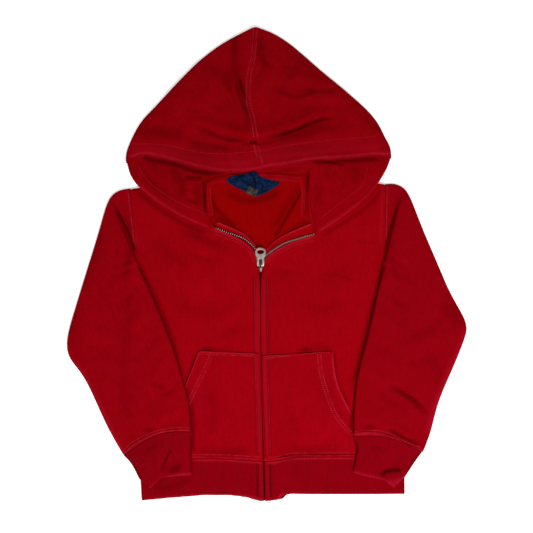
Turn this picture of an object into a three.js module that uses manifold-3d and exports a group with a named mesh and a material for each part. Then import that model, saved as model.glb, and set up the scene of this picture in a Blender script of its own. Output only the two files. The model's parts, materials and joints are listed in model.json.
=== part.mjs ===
// Child's zip-front hooded sweatshirt, laid flat on its back with the sleeves folded down over the fronts.
// Millimetres. X runs to the viewer's right, Y towards the hood, Z up from the surface it lies on.
// The origin lies on that surface, in the middle of the whole outline.

import * as THREE from 'three';
import { mergeVertices } from 'three/addons/utils/BufferGeometryUtils.js';
import Module from 'manifold-3d';

// Cloth and the way its layers lie on each other
const CLOTH = 2.2;
const SEAM_GAP = 0.3;
const LAYER_GAP = 0.4;
const AIR_IN_BODY = 2.2;
const AIR_WIDTH = 45;
const FOLD_AIR = 0.8;
const LOFT_ROUNDNESS = 0.7;
const BODY_DRAPE = { start: 5, reach: 20 };
const POCKET_DRAPE = { start: 12, reach: 30 };
const HOOD_DRAPE = { start: 14, reach: 44 };
const FRONT_TOP = CLOTH + SEAM_GAP + AIR_IN_BODY + CLOTH;

// Thin pieces
const TAPE = 1;
const NECK_TAPE_HEIGHT = CLOTH + SEAM_GAP;
const ZIP_TAPE_HEIGHT = CLOTH + 1.2;
const LABEL_HEIGHT = NECK_TAPE_HEIGHT + TAPE + SEAM_GAP;

// Steps that the sections are drawn in
const PANEL_STEPS = 8;
const SLEEVE_STEPS = 12;
const HOOD_STEPS = 12;
const CUFF_STEPS = 10;
const HEM_FRONT_STEPS = 10;
const HEM_BACK_STEPS = 14;
const HEM_ROWS = 4;
const FOLD_STEPS = 4;
const TAPE_STEPS = 2;

// Zip slider and its pull tab
const ZIP_X = -8.8;
const HINGE_Y = -1.6;
const HINGE_Z = 9.4;
const SLIDER = { width: 4.4, from: -10, to: 6.5, under: 4.7, top: 7.5, taper: 1.2 };
const BRIDGE = { width: 2.4, from: -8.6, to: 4.6, foot: 6.5, top: 11.6, corner: 1.6 };
const EYE = { from: -3.8, to: 2.2, floor: 7.7, top: 10.9 };
const TAB = { thickness: 1.5, headRadius: 7.3, headHeight: 5.2, headY: 19.2 };
const TAB_NECK = { half: 5.2, topY: 11, flare: 2 };
const TAB_FOOT = { half: 4.8, below: 1.1, corner: 1 };
const TAB_RING_HOLE = { halfWidth: 5.1, halfHeight: 3.1, y: 18.6 };
const TAB_SLOT = { half: 2.1, from: 0.85, to: 8.6 };

// Front panels, from the hem seam up: side, armhole or shoulder edge and zip or neck edge
const FRONT_LEFT = [
  { leftX: -178.0, leftY: -271.2, rightX: -6.0, rightY: -275.0 },
  { leftX: -182.5, leftY: -225, rightX: -7.0, rightY: -218 },
  { leftX: -183.0, leftY: -169, rightX: -8.5, rightY: -169 },
  { leftX: -183.0, leftY: -113, rightX: -9.5, rightY: -113 },
  { leftX: -182.5, leftY: -57, rightX: -9.6, rightY: -57 },
  { leftX: -181.5, leftY: -16, rightX: -9.6, rightY: -16.5 },
  { leftX: -181.0, leftY: -4, rightX: -11.8, rightY: -10 },
  { leftX: -181.0, leftY: 10, rightX: -12.3, rightY: 4.5 },
  { leftX: -182.0, leftY: 25.5, rightX: -18.5, rightY: 20.5 },
  { leftX: -183.4, leftY: 41, rightX: -33.5, rightY: 34 },
  { leftX: -184.6, leftY: 55, rightX: -54.5, rightY: 43 },
  { leftX: -186.1, leftY: 71.5, rightX: -74.5, rightY: 50 },
  { leftX: -187.3, leftY: 85.5, rightX: -85.0, rightY: 70 },
  { leftX: -188.4, leftY: 97, rightX: -87.0, rightY: 95.5 },
  { leftX: -189.3, leftY: 105, rightX: -88.0, rightY: 120 },
];
const FRONT_RIGHT = [
  { leftX: -3.0, leftY: -275.0, rightX: 192.5, rightY: -268.2 },
  { leftX: -5.5, leftY: -218, rightX: 190.0, rightY: -225 },
  { leftX: -6.5, leftY: -169, rightX: 183.0, rightY: -169 },
  { leftX: -7.5, leftY: -113, rightX: 176.0, rightY: -113 },
  { leftX: -8.0, leftY: -57, rightX: 170.5, rightY: -57 },
  { leftX: -8.0, leftY: -16.5, rightX: 166.0, rightY: -16 },
  { leftX: -5.8, leftY: -10, rightX: 164.0, rightY: -4 },
  { leftX: -5.3, leftY: 4.5, rightX: 162.5, rightY: 10 },
  { leftX: 1.0, leftY: 12, rightX: 162.6, rightY: 25.5 },
  { leftX: 15.5, leftY: 22.5, rightX: 162.9, rightY: 41 },
  { leftX: 41.0, leftY: 34, rightX: 163.2, rightY: 55 },
  { leftX: 67.5, leftY: 41, rightX: 163.5, rightY: 71.5 },
  { leftX: 58.0, leftY: 64.5, rightX: 163.7, rightY: 85.5 },
  { leftX: 57.0, leftY: 92.5, rightX: 164.0, rightY: 97 },
  { leftX: 57.5, leftY: 125, rightX: 164.2, rightY: 111.5 },
];

// Back panel: its top edge over shoulders and neck, and how far its rows below share that shape
const BACK_TOP_EDGE = [
  { x: -189.3, y: 105 },
  { x: -138, y: 113 },
  { x: -88, y: 120.6 },
  { x: -64, y: 125.5 },
  { x: -39, y: 128 },
  { x: -15, y: 128.6 },
  { x: 10, y: 128.6 },
  { x: 35, y: 128.1 },
  { x: 57.5, y: 125.2 },
  { x: 110, y: 118.5 },
  { x: 164.2, y: 111.5 },
];
const BACK_RISE_OF_TOP_ROWS = [0.4, 0.7, 1];

// Sleeves, from the armhole down to the cuff seam. Bow is how far the middle of a section lies up the sleeve.
const SLEEVE_LEFT = [
  { leftX: -190.5, leftY: 106, rightX: -184.2, rightY: 18, bow: 0, loft: 0.4 },
  { leftX: -205.5, leftY: 104.5, rightX: -182.4, rightY: 8.5, bow: 0, loft: 0.4 },
  { leftX: -218.0, leftY: 96.5, rightX: -179.5, rightY: 1.5, bow: 0, loft: 0.4 },
  { leftX: -225.0, leftY: 82, rightX: -177.0, rightY: -6, bow: 0, loft: 2.8 },
  { leftX: -236.5, leftY: 39.5, rightX: -170.5, rightY: -19.5, bow: 0, loft: 2.4 },
  { leftX: -250.0, leftY: -2.5, rightX: -162.0, rightY: -37.5, bow: 0, loft: 2.4 },
  { leftX: -264.5, leftY: -50, rightX: -150.5, rightY: -63, bow: 0, loft: 2.4 },
  { leftX: -278.0, leftY: -94, rightX: -138.5, rightY: -92, bow: 0, loft: 2.4 },
  { leftX: -280.5, leftY: -113, rightX: -132.0, rightY: -109, bow: 1, loft: 2.4 },
  { leftX: -277.5, leftY: -130, rightX: -125.0, rightY: -130, bow: 3, loft: 2.4 },
  { leftX: -267.5, leftY: -142.5, rightX: -119.5, rightY: -148, bow: 5, loft: 2.4 },
  { leftX: -253.5, leftY: -160.5, rightX: -114.0, rightY: -168, bow: 7, loft: 2.4 },
  { leftX: -238.0, leftY: -194.5, rightX: -107.5, rightY: -190, bow: 9, loft: 2.4 },
  { leftX: -222.0, leftY: -231, rightX: -104.5, rightY: -211, bow: 11, loft: 2.2 },
  { leftX: -201.0, leftY: -266.3, rightX: -104.0, rightY: -231.5, bow: 12.5, loft: 1.6 },
];
const SLEEVE_RIGHT = [
  { leftX: 165.2, leftY: 21, rightX: 165.4, rightY: 112, bow: 0, loft: 0.4 },
  { leftX: 164.2, leftY: 12, rightX: 178.6, rightY: 113.5, bow: 0, loft: 0.4 },
  { leftX: 162.0, leftY: 3, rightX: 194.5, rightY: 106.5, bow: 0, loft: 0.4 },
  { leftX: 160.5, leftY: -8, rightX: 203.5, rightY: 87, bow: 0, loft: 2.8 },
  { leftX: 157.0, leftY: -25, rightX: 220.0, rightY: 43.5, bow: 0, loft: 2.4 },
  { leftX: 152.0, leftY: -46, rightX: 240.5, rightY: -2.5, bow: 0, loft: 2.4 },
  { leftX: 146.5, leftY: -68.5, rightX: 253.5, rightY: -35, bow: 0, loft: 2.4 },
  { leftX: 142.5, leftY: -86.5, rightX: 267.5, rightY: -60, bow: 0, loft: 2.4 },
  { leftX: 139.0, leftY: -100, rightX: 277.5, rightY: -77, bow: 0, loft: 2.4 },
  { leftX: 136.5, leftY: -110.5, rightX: 280.5, rightY: -91, bow: 1, loft: 2.4 },
  { leftX: 132.5, leftY: -124.5, rightX: 277.5, rightY: -102.5, bow: 2, loft: 2.4 },
  { leftX: 127.0, leftY: -148, rightX: 263.5, rightY: -138.5, bow: 3, loft: 2.4 },
  { leftX: 122.5, leftY: -169, rightX: 249.5, rightY: -169, bow: 5, loft: 2.4 },
  { leftX: 120.0, leftY: -196, rightX: 237.0, rightY: -200, bow: 7, loft: 2.4 },
  { leftX: 119.0, leftY: -218, rightX: 230.0, rightY: -235, bow: 9, loft: 2.2 },
  { leftX: 119.5, leftY: -238, rightX: 218.6, rightY: -262.4, bow: 9.8, loft: 1.6 },
];

// Cuffs, from the seam to the open end, where the outer corner hangs down as a tip
const CUFF_LEFT = [
  { leftX: -200.6, leftY: -267.4, rightX: -104.0, rightY: -232.3, bow: 12.5, tip: 0, loft: 1.6 },
  { leftX: -191.5, leftY: -275, rightX: -104.0, rightY: -253, bow: 7, tip: 0, loft: 1.8 },
  { leftX: -184.0, leftY: -285.5, rightX: -104.0, rightY: -273, bow: 3, tip: 6, loft: 2 },
  { leftX: -178.0, leftY: -298.5, rightX: -104.0, rightY: -292.5, bow: 0, tip: 14, loft: 2.2 },
];
const CUFF_RIGHT = [
  { leftX: 119.5, leftY: -238.6, rightX: 217.3, rightY: -262.7, bow: 9.8, tip: 0, loft: 1.6 },
  { leftX: 124.0, leftY: -254.5, rightX: 209.0, rightY: -273, bow: 5, tip: 0, loft: 1.8 },
  { leftX: 124.0, leftY: -268.5, rightX: 200.5, rightY: -284, bow: 0, tip: 6, loft: 2 },
  { leftX: 119.0, leftY: -289.5, rightX: 192.5, rightY: -296, bow: -5, tip: 13, loft: 2.2 },
];
const CUFF_TIP = { fromOuterEdge: 0.2, width: 0.13 };

// Hood sides, from the peak down. Top is the centre seam above, fold the outer fold, and under the centre
// seam below, then the neck seam. Shape is the share that the row takes of the face opening's curves.
const HOOD_LEFT = [
  { topX: -16.0, topY: 331, foldX: -22.0, foldY: 329.6, underX: -16, underY: 331, shape: 0, loft: 0 },
  { topX: -17.5, topY: 319.5, foldX: -41.5, foldY: 320, underX: -16, underY: 316.5, shape: 0, loft: 0.6 },
  { topX: -18.5, topY: 302.5, foldX: -65.5, foldY: 307, underX: -15, underY: 294, shape: 0, loft: 1.6 },
  { topX: -22.0, topY: 280, foldX: -89.5, foldY: 289, underX: -15, underY: 265, shape: 0, loft: 2.2 },
  { topX: -26.0, topY: 258, foldX: -110.5, foldY: 269, underX: -15, underY: 232.5, shape: 0, loft: 2.4 },
  { topX: -25.5, topY: 232.5, foldX: -135.5, foldY: 242.5, underX: -15, underY: 199, shape: 0, loft: 2.4 },
  { topX: -22.0, topY: 213, foldX: -157.5, foldY: 218.5, underX: -15, underY: 162.5, shape: 0, loft: 2.6 },
  { topX: -18.5, topY: 196, foldX: -174.5, foldY: 202, underX: -15, underY: 129.4, shape: 0, loft: 2.8 },
  { topX: -16.0, topY: 181, foldX: -184.5, foldY: 185, underX: -39, underY: 128.9, shape: 0.15, loft: 3 },
  { topX: -15.0, topY: 171, foldX: -190.5, foldY: 172.5, underX: -64, underY: 126.6, shape: 0.3, loft: 2.6 },
  { topX: -14.0, topY: 161, foldX: -195.5, foldY: 160, underX: -87.5, underY: 121.6, shape: 0.5, loft: 0.6 },
  { topX: -11.5, topY: 149, foldX: -199.5, foldY: 149.5, underX: -87.5, underY: 97, shape: 0.75, loft: 0.6 },
  { topX: -9.0, topY: 134, foldX: -200.5, foldY: 141, underX: -77, underY: 50.5, shape: 1, loft: 1.4 },
];
const HOOD_RIGHT = [
  { topX: -16.0, topY: 331, foldX: -10.0, foldY: 329.6, underX: -16, underY: 331, shape: 0, loft: 0 },
  { topX: -17.5, topY: 319.5, foldX: 10.0, foldY: 323, underX: -16, underY: 316.5, shape: 0, loft: 0.6 },
  { topX: -18.5, topY: 302.5, foldX: 34.0, foldY: 307.5, underX: -15, underY: 294, shape: 0, loft: 1.6 },
  { topX: -22.0, topY: 280, foldX: 58.0, foldY: 286, underX: -15, underY: 265, shape: 0, loft: 2.2 },
  { topX: -26.0, topY: 258, foldX: 83.0, foldY: 263.5, underX: -15, underY: 232.5, shape: 0, loft: 2.4 },
  { topX: -25.5, topY: 232.5, foldX: 108.0, foldY: 244, underX: -15, underY: 199, shape: 0, loft: 2.4 },
  { topX: -22.0, topY: 213, foldX: 131.5, foldY: 224, underX: -15, underY: 162.5, shape: 0, loft: 2.6 },
  { topX: -18.5, topY: 196, foldX: 147.5, foldY: 208, underX: -15, underY: 129.4, shape: 0, loft: 2.8 },
  { topX: -16.0, topY: 181, foldX: 158.0, foldY: 193.5, underX: 10, underY: 129.4, shape: 0.15, loft: 3 },
  { topX: -15.0, topY: 171, foldX: 164.0, foldY: 179.5, underX: 35, underY: 129, shape: 0.3, loft: 2.6 },
  { topX: -14.0, topY: 161, foldX: 171.0, foldY: 167.5, underX: 57, underY: 126.2, shape: 0.5, loft: 0.6 },
  { topX: -11.5, topY: 149, foldX: 176.5, foldY: 157.5, underX: 56.5, underY: 98, shape: 0.75, loft: 0.6 },
  { topX: -9.0, topY: 134, foldX: 177.5, foldY: 148, underX: 69, underY: 43, shape: 1, loft: 1.4 },
];

// Curves of the face opening, as the rise above the straight line between the ends of its last section
const LIP_LEFT = [
  { across: 0, rise: 0 },
  { across: 0.15, rise: -3.7 },
  { across: 0.3, rise: -5 },
  { across: 0.43, rise: -1 },
  { across: 0.6, rise: 6.3 },
  { across: 0.73, rise: 12.3 },
  { across: 0.86, rise: 15 },
  { across: 0.96, rise: 12 },
  { across: 1, rise: 0 },
];
const LIP_RIGHT = [
  { across: 0, rise: 0 },
  { across: 0.19, rise: 4.3 },
  { across: 0.35, rise: 6.9 },
  { across: 0.68, rise: 7.9 },
  { across: 0.84, rise: 8.5 },
  { across: 0.96, rise: 7.5 },
  { across: 1, rise: 0 },
];
const RIM_LEFT = [
  { across: 0, rise: 0 },
  { across: 0.03, rise: -10.5 },
  { across: 0.12, rise: -19 },
  { across: 0.4, rise: -20.5 },
  { across: 0.6, rise: -17 },
  { across: 0.8, rise: -10.5 },
  { across: 1, rise: -2 },
];
const RIM_RIGHT = [
  { across: 0, rise: 0 },
  { across: 0.1, rise: -10 },
  { across: 0.18, rise: -16 },
  { across: 0.33, rise: -20 },
  { across: 0.55, rise: -16 },
  { across: 0.77, rise: -9.6 },
  { across: 1, rise: -1 },
];

// Hem band: its seam and its lower edge, and the zip edges that part its front
const HEM_SEAM = [
  { across: -178, rise: -271.5 },
  { across: -64, rise: -271.5 },
  { across: -25, rise: -274 },
  { across: -4, rise: -275.5 },
  { across: 10.5, rise: -275.5 },
  { across: 27, rise: -271 },
  { across: 46.5, rise: -269 },
  { across: 192.5, rise: -268.5 },
];
const HEM_EDGE = [
  { across: -172.5, rise: -330 },
  { across: -135.5, rise: -326 },
  { across: -88, rise: -322.5 },
  { across: -51.5, rise: -323 },
  { across: -25.5, rise: -324.5 },
  { across: -16, rise: -328 },
  { across: 0, rise: -331 },
  { across: 15.5, rise: -329 },
  { across: 25, rise: -320.5 },
  { across: 99, rise: -322 },
  { across: 192, rise: -321 },
];
const HEM_SIDES = { leftSeam: -178.5, leftEdge: -175, rightSeam: 192.5, rightEdge: 193 };
const HEM_ZIP = { leftSeam: -5.9, leftEdge: -4.6, rightSeam: -3, rightEdge: -1.7 };

// Pouch pockets, from the hem seam up: outer edge with the hand opening, and zip edge
const POCKET_LEFT = [
  { leftX: -140.0, leftY: -267.5, rightX: -8.0, rightY: -270 },
  { leftX: -140.0, leftY: -232, rightX: -8.6, rightY: -232 },
  { leftX: -128.5, leftY: -205.5, rightX: -9.2, rightY: -204 },
  { leftX: -114.0, leftY: -169, rightX: -10.2, rightY: -169 },
  { leftX: -104.0, leftY: -145.5, rightX: -10.8, rightY: -145.5 },
  { leftX: -95.0, leftY: -121, rightX: -11.0, rightY: -124.5 },
];
const POCKET_RIGHT = [
  { leftX: -1.5, leftY: -270, rightX: 133.0, rightY: -265 },
  { leftX: -3.2, leftY: -232, rightX: 133.0, rightY: -229.5 },
  { leftX: -4.2, leftY: -204, rightX: 116.5, rightY: -205.5 },
  { leftX: -5.2, leftY: -175, rightX: 101.0, rightY: -175 },
  { leftX: -6.0, leftY: -151, rightX: 94.0, rightY: -151 },
  { leftX: -6.2, leftY: -127.5, rightX: 92.0, rightY: -121.5 },
];

// Zip tapes, from the hem up to the open top, where each turns out beyond its teeth as a facing
const ZIP_TAPE_LEFT = [
  { leftX: -13.5, leftY: -326, rightX: -3.4, rightY: -327.5 },
  { leftX: -14.5, leftY: -277, rightX: -4.7, rightY: -277 },
  { leftX: -16.5, leftY: -169, rightX: -7.7, rightY: -169 },
  { leftX: -18.0, leftY: -74, rightX: -9.0, rightY: -74 },
  { leftX: -18.0, leftY: -15, rightX: -9.0, rightY: -15 },
  { leftX: -21.0, leftY: 3, rightX: -9.0, rightY: 3 },
  { leftX: -25.0, leftY: 15.5, rightX: -12.0, rightY: 20.5 },
  { leftX: -33.5, leftY: 24.5, rightX: -23.5, rightY: 37.5 },
  { leftX: -50.0, leftY: 34, rightX: -41.0, rightY: 48 },
  { leftX: -77.0, leftY: 45, rightX: -70.0, rightY: 59.5 },
];
const ZIP_TAPE_RIGHT = [
  { leftX: -3.1, leftY: -327.5, rightX: 6.0, rightY: -326 },
  { leftX: -4.4, leftY: -277, rightX: 5.0, rightY: -277 },
  { leftX: -7.4, leftY: -169, rightX: 1.5, rightY: -169 },
  { leftX: -8.7, leftY: -74, rightX: 0.0, rightY: -74 },
  { leftX: -8.7, leftY: -15, rightX: 0.0, rightY: -15 },
  { leftX: -8.7, leftY: 3, rightX: 3.0, rightY: 1.5 },
  { leftX: -3.5, leftY: 17, rightX: 7.0, rightY: 8.5 },
  { leftX: 7.0, leftY: 32.5, rightX: 20.0, rightY: 18.5 },
  { leftX: 41.0, leftY: 49, rightX: 46.5, rightY: 29 },
  { leftX: 65.0, leftY: 58.5, rightX: 69.0, rightY: 37 },
];

// Neck tape, round the neck from the left zip top to the right: inner edge and seam edge
const NECK_TAPE = [
  { leftX: -83.5, leftY: 65.5, rightX: -74.5, rightY: 67.5 },
  { leftX: -85.0, leftY: 90, rightX: -77.5, rightY: 91 },
  { leftX: -86.2, leftY: 112, rightX: -78.0, rightY: 109.5 },
  { leftX: -82.5, leftY: 120.3, rightX: -74.5, rightY: 113 },
  { leftX: -54.5, leftY: 125, rightX: -52.5, rightY: 115 },
  { leftX: -15.0, leftY: 127, rightX: -15.0, rightY: 116.5 },
  { leftX: 24.0, leftY: 126, rightX: 22.5, rightY: 115.5 },
  { leftX: 51.5, leftY: 123, rightX: 45.5, rightY: 113 },
  { leftX: 55.5, leftY: 113.5, rightX: 48.0, rightY: 106.5 },
  { leftX: 55.5, leftY: 90, rightX: 47.0, rightY: 88.5 },
  { leftX: 54.0, leftY: 66, rightX: 45.5, rightY: 66 },
];

// Size label, crumpled into two points with a raised middle, from the viewer's left to right
const LABEL = [
  { leftX: -56.5, leftY: 118.5, rightX: -56.5, rightY: 115.5 },
  { leftX: -46.5, leftY: 124.5, rightX: -46.5, rightY: 108.5 },
  { leftX: -28.0, leftY: 126, rightX: -28.0, rightY: 100.5 },
  { leftX: -16.5, leftY: 130, rightX: -16.5, rightY: 94 },
  { leftX: -9.5, leftY: 121.5, rightX: -9.5, rightY: 95.5 },
  { leftX: 4.5, leftY: 117.5, rightX: 4.5, rightY: 102.5 },
  { leftX: 18.0, leftY: 115, rightX: 18.0, rightY: 112 },
];

// Colours of the materials
const RED_CLOTH = { color: 0x9a000f, roughness: 0.95, metalness: 0 };
const RED_RIB = { color: 0x8c000c, roughness: 0.95, metalness: 0 };
const RED_TAPE = { color: 0xa30a1c, roughness: 0.9, metalness: 0 };
const NAVY_LABEL = { color: 0x0c2350, roughness: 0.7, metalness: 0 };
const PEWTER = { color: 0xb9b6ae, roughness: 0.35, metalness: 1 };

// Value of a two-column curve table at a place between its rows
function valueAt(table, across) {
  if (across <= table[0].across) return table[0].rise;
  for (let i = 1; i < table.length; i += 1) {
    const before = table[i - 1];
    const after = table[i];
    if (across <= after.across) {
      const share = (across - before.across) / (after.across - before.across);
      return THREE.MathUtils.lerp(before.rise, after.rise, share);
    }
  }
  return table[table.length - 1].rise;
}

// Distance in plan from a place to a path of points
function distanceToPath(path, x, y) {
  const place = new THREE.Vector3(x, y, 0);
  const nearest = new THREE.Vector3();
  let distance = Infinity;
  for (let i = 1; i < path.length; i += 1) {
    new THREE.Line3(path[i - 1], path[i]).closestPointToPoint(place, true, nearest);
    distance = Math.min(distance, nearest.distanceTo(place));
  }
  return distance;
}

// Whether a closed outline holds a place in plan
function isInside(outline, x, y) {
  let inside = false;
  for (let i = 1; i < outline.length; i += 1) {
    const a = outline[i - 1];
    const b = outline[i];
    const crosses = (a.y > y) !== (b.y > y);
    if (crosses && x < a.x + ((b.x - a.x) * (y - a.y)) / (b.y - a.y)) inside = !inside;
  }
  return inside;
}

const leftPoint = (row) => new THREE.Vector3(row.leftX, row.leftY, 0);
const rightPoint = (row) => new THREE.Vector3(row.rightX, row.rightY, 0);

// Closed outline of a panel whose sections are rows of a table
function outlineOf(table) {
  const points = [...table.map(leftPoint), ...table.map(rightPoint).reverse()];
  return [...points, points[0]];
}

const HEM_LEFT_CORNER = new THREE.Vector3(HEM_SIDES.leftEdge, HEM_EDGE[0].rise, 0);
const HEM_RIGHT_CORNER = new THREE.Vector3(HEM_SIDES.rightEdge, HEM_EDGE[HEM_EDGE.length - 1].rise, 0);
const LEFT_SIDE = [HEM_LEFT_CORNER, ...FRONT_LEFT.map(leftPoint)];
const RIGHT_SIDE = [HEM_RIGHT_CORNER, ...FRONT_RIGHT.map(rightPoint)];
const ROWS_BELOW_UNDERARM = 8;
const BODY_BELOW_UNDERARM = [
  ...LEFT_SIDE.slice(0, ROWS_BELOW_UNDERARM + 1),
  ...RIGHT_SIDE.slice(0, ROWS_BELOW_UNDERARM + 1).reverse(),
  HEM_LEFT_CORNER,
];
const POCKETS = [outlineOf(POCKET_LEFT), outlineOf(POCKET_RIGHT)];
const FRONTS = [outlineOf(FRONT_LEFT), outlineOf(FRONT_RIGHT)];

// Share of a layer's height that cloth on top of it keeps, falling to nothing where it has draped off
function cover(outlines, drape, x, y) {
  let share = 0;
  for (const outline of outlines) {
    const away = isInside(outline, x, y) ? 0 : distanceToPath(outline, x, y);
    share = Math.max(share, 1 - THREE.MathUtils.smoothstep(away, drape.start, drape.reach));
  }
  return share;
}

// Heights of the cloth in plan: the body's front layer, and what lies on the body
function frontTop(x, y) {
  const fromSide = Math.min(distanceToPath(LEFT_SIDE, x, y), distanceToPath(RIGHT_SIDE, x, y));
  return FRONT_TOP - AIR_IN_BODY + AIR_IN_BODY * THREE.MathUtils.smoothstep(fromSide, 0, AIR_WIDTH);
}

function underSleeve(x, y) {
  const body = (FRONT_TOP + LAYER_GAP) * cover([BODY_BELOW_UNDERARM], BODY_DRAPE, x, y);
  const pocket = (CLOTH + LAYER_GAP) * cover(POCKETS, POCKET_DRAPE, x, y);
  return body + pocket;
}

function underHood(x, y) {
  return (FRONT_TOP + LAYER_GAP) * cover(FRONTS, HOOD_DRAPE, x, y);
}

// Grid of points moved by a distance against its outward normals
function movedInward(grid, distance, closesRound) {
  const rows = grid.length;
  const columns = grid[0].length;
  return grid.map((row, r) => row.map((point, c) => {
    const above = grid[Math.max(r - 1, 0)][c];
    const below = grid[Math.min(r + 1, rows - 1)][c];
    const before = closesRound ? row[(c + columns - 1) % columns] : row[Math.max(c - 1, 0)];
    const after = closesRound ? row[(c + 1) % columns] : row[Math.min(c + 1, columns - 1)];
    const across = after.clone().sub(before);
    const along = below.clone().sub(above);
    const normal = across.cross(along).normalize();
    return point.clone().addScaledVector(normal, -distance);
  }));
}

// Closed wall between an outer and an inner grid, open only at its first and last rows where it closes round
function wall(outer, inner, closesRound) {
  const rows = outer.length;
  const columns = outer[0].length;
  const spans = closesRound ? columns : columns - 1;
  const corners = [];
  const outerAt = (r, c) => r * columns + (c % columns);
  const innerAt = (r, c) => rows * columns + outerAt(r, c);
  const quad = (a, b, c, d) => corners.push(a, b, c, a, c, d);
  for (let r = 0; r < rows - 1; r += 1) {
    for (let c = 0; c < spans; c += 1) {
      quad(outerAt(r, c), outerAt(r, c + 1), outerAt(r + 1, c + 1), outerAt(r + 1, c));
      quad(innerAt(r, c), innerAt(r + 1, c), innerAt(r + 1, c + 1), innerAt(r, c + 1));
    }
  }
  const last = rows - 1;
  for (let c = 0; c < spans; c += 1) {
    quad(outerAt(0, c), innerAt(0, c), innerAt(0, c + 1), outerAt(0, c + 1));
    quad(outerAt(last, c), outerAt(last, c + 1), innerAt(last, c + 1), innerAt(last, c));
  }
  const end = columns - 1;
  for (let r = 0; r < rows - 1 && !closesRound; r += 1) {
    quad(outerAt(r, 0), outerAt(r + 1, 0), innerAt(r + 1, 0), innerAt(r, 0));
    quad(outerAt(r, end), innerAt(r, end), innerAt(r + 1, end), outerAt(r + 1, end));
  }
  const geometry = new THREE.BufferGeometry();
  const positions = [...outer.flat(), ...inner.flat()].flatMap((p) => [p.x, p.y, p.z]);
  geometry.setAttribute('position', new THREE.Float32BufferAttribute(positions, 3));
  geometry.setIndex(corners);
  geometry.computeVertexNormals();
  return geometry;
}

// Flat cloth from plan points, resting at the height that a function of the place gives
function sheet(plan, heightUnder, thickness) {
  const under = plan.map((row) => row.map((p) => new THREE.Vector3(p.x, p.y, heightUnder(p.x, p.y))));
  const top = under.map((row) => row.map((p) => p.clone().setZ(p.z + thickness)));
  return wall(top, under, false);
}

// Plan points of a panel: straight sections between the two edges of each row
function panelPlan(table, steps) {
  return table.map((row) => {
    const points = [];
    for (let i = 0; i <= steps; i += 1) points.push(leftPoint(row).lerp(rightPoint(row), i / steps));
    return points;
  });
}

// Points of a half circle that joins the upper to the lower layer at a fold, from the top down
function foldPoints(edge, outward, base) {
  const radius = CLOTH + FOLD_AIR / 2;
  const points = [];
  for (let i = 1; i < FOLD_STEPS; i += 1) {
    const angle = Math.PI / 2 - (Math.PI * i) / FOLD_STEPS;
    const point = edge.clone().addScaledVector(outward, radius * (Math.cos(angle) - 1));
    points.push(point.setZ(base + radius + radius * Math.sin(angle)));
  }
  return points;
}

// Ring of a flattened tube between a left and a right fold. Shape moves points of the section in plan.
function tubeRing(row, steps, heightUnder, shape) {
  const radius = CLOTH + FOLD_AIR / 2;
  const left = leftPoint(row);
  const right = rightPoint(row);
  const outward = left.clone().sub(right).normalize();
  const upper = [];
  const lower = [];
  for (let i = 0; i <= steps; i += 1) {
    const across = i / steps;
    const start = right.clone().addScaledVector(outward, radius);
    const finish = left.clone().addScaledVector(outward, -radius);
    const place = start.lerp(finish, across);
    place.y += shape(row, across);
    const base = heightUnder(place.x, place.y);
    const air = FOLD_AIR + row.loft * Math.sin(Math.PI * across) ** LOFT_ROUNDNESS;
    upper.push(place.clone().setZ(base + 2 * CLOTH + air));
    lower.unshift(place.clone().setZ(base));
  }
  const leftBase = heightUnder(left.x, left.y);
  const rightBase = heightUnder(right.x, right.y);
  const leftFold = foldPoints(left, outward, leftBase);
  const rightFold = foldPoints(right, outward.clone().negate(), rightBase).reverse();
  return [...upper, ...leftFold, ...lower, ...rightFold];
}

function tube(table, steps, heightUnder, shape) {
  const outer = table.map((row) => tubeRing(row, steps, heightUnder, shape));
  return wall(outer, movedInward(outer, CLOTH, true), true);
}

const bowOf = (row, across) => row.bow * Math.sin(Math.PI * across);

function cuffShape(outerEdgeIsLeft) {
  return (row, across) => {
    const fromOuterEdge = outerEdgeIsLeft ? 1 - across : across;
    const away = (fromOuterEdge - CUFF_TIP.fromOuterEdge) / CUFF_TIP.width;
    return bowOf(row, across) - row.tip * Math.exp(-away * away);
  };
}

// Section of a hood side: over the top, round the outer fold and back along the underside
function hoodSection(row, lip, rim, seamShift) {
  const radius = CLOTH + FOLD_AIR / 2;
  const fold = new THREE.Vector3(row.foldX, row.foldY, 0);
  const top = new THREE.Vector3(row.topX + seamShift, row.topY, 0);
  const under = new THREE.Vector3(row.underX + seamShift, row.underY, 0);
  const outward = fold.clone().sub(top).normalize();
  const foldStart = fold.clone().addScaledVector(outward, -radius);
  const upper = [];
  const lower = [];
  for (let i = 0; i <= HOOD_STEPS; i += 1) {
    const across = i / HOOD_STEPS;
    const above = top.clone().lerp(foldStart, across);
    above.y += row.shape * valueAt(lip, across);
    const air = FOLD_AIR + row.loft * Math.cos((Math.PI / 2) * across) ** LOFT_ROUNDNESS;
    upper.push(above.setZ(underHood(above.x, above.y) + 2 * CLOTH + air));
    const below = foldStart.clone().lerp(under, across);
    below.y += row.shape * valueAt(rim, across);
    lower.push(below.setZ(underHood(below.x, below.y)));
  }
  return [...upper, ...foldPoints(fold, outward, underHood(fold.x, fold.y)), ...lower];
}

function hoodSide(table, lip, rim, side) {
  const seamShift = (side * SEAM_GAP) / 2;
  const sections = table.map((row) => hoodSection(row, lip, rim, seamShift));
  const outer = side < 0 ? sections : sections.map((section) => section.reverse());
  return wall(outer, movedInward(outer, CLOTH, false), false);
}

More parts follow.
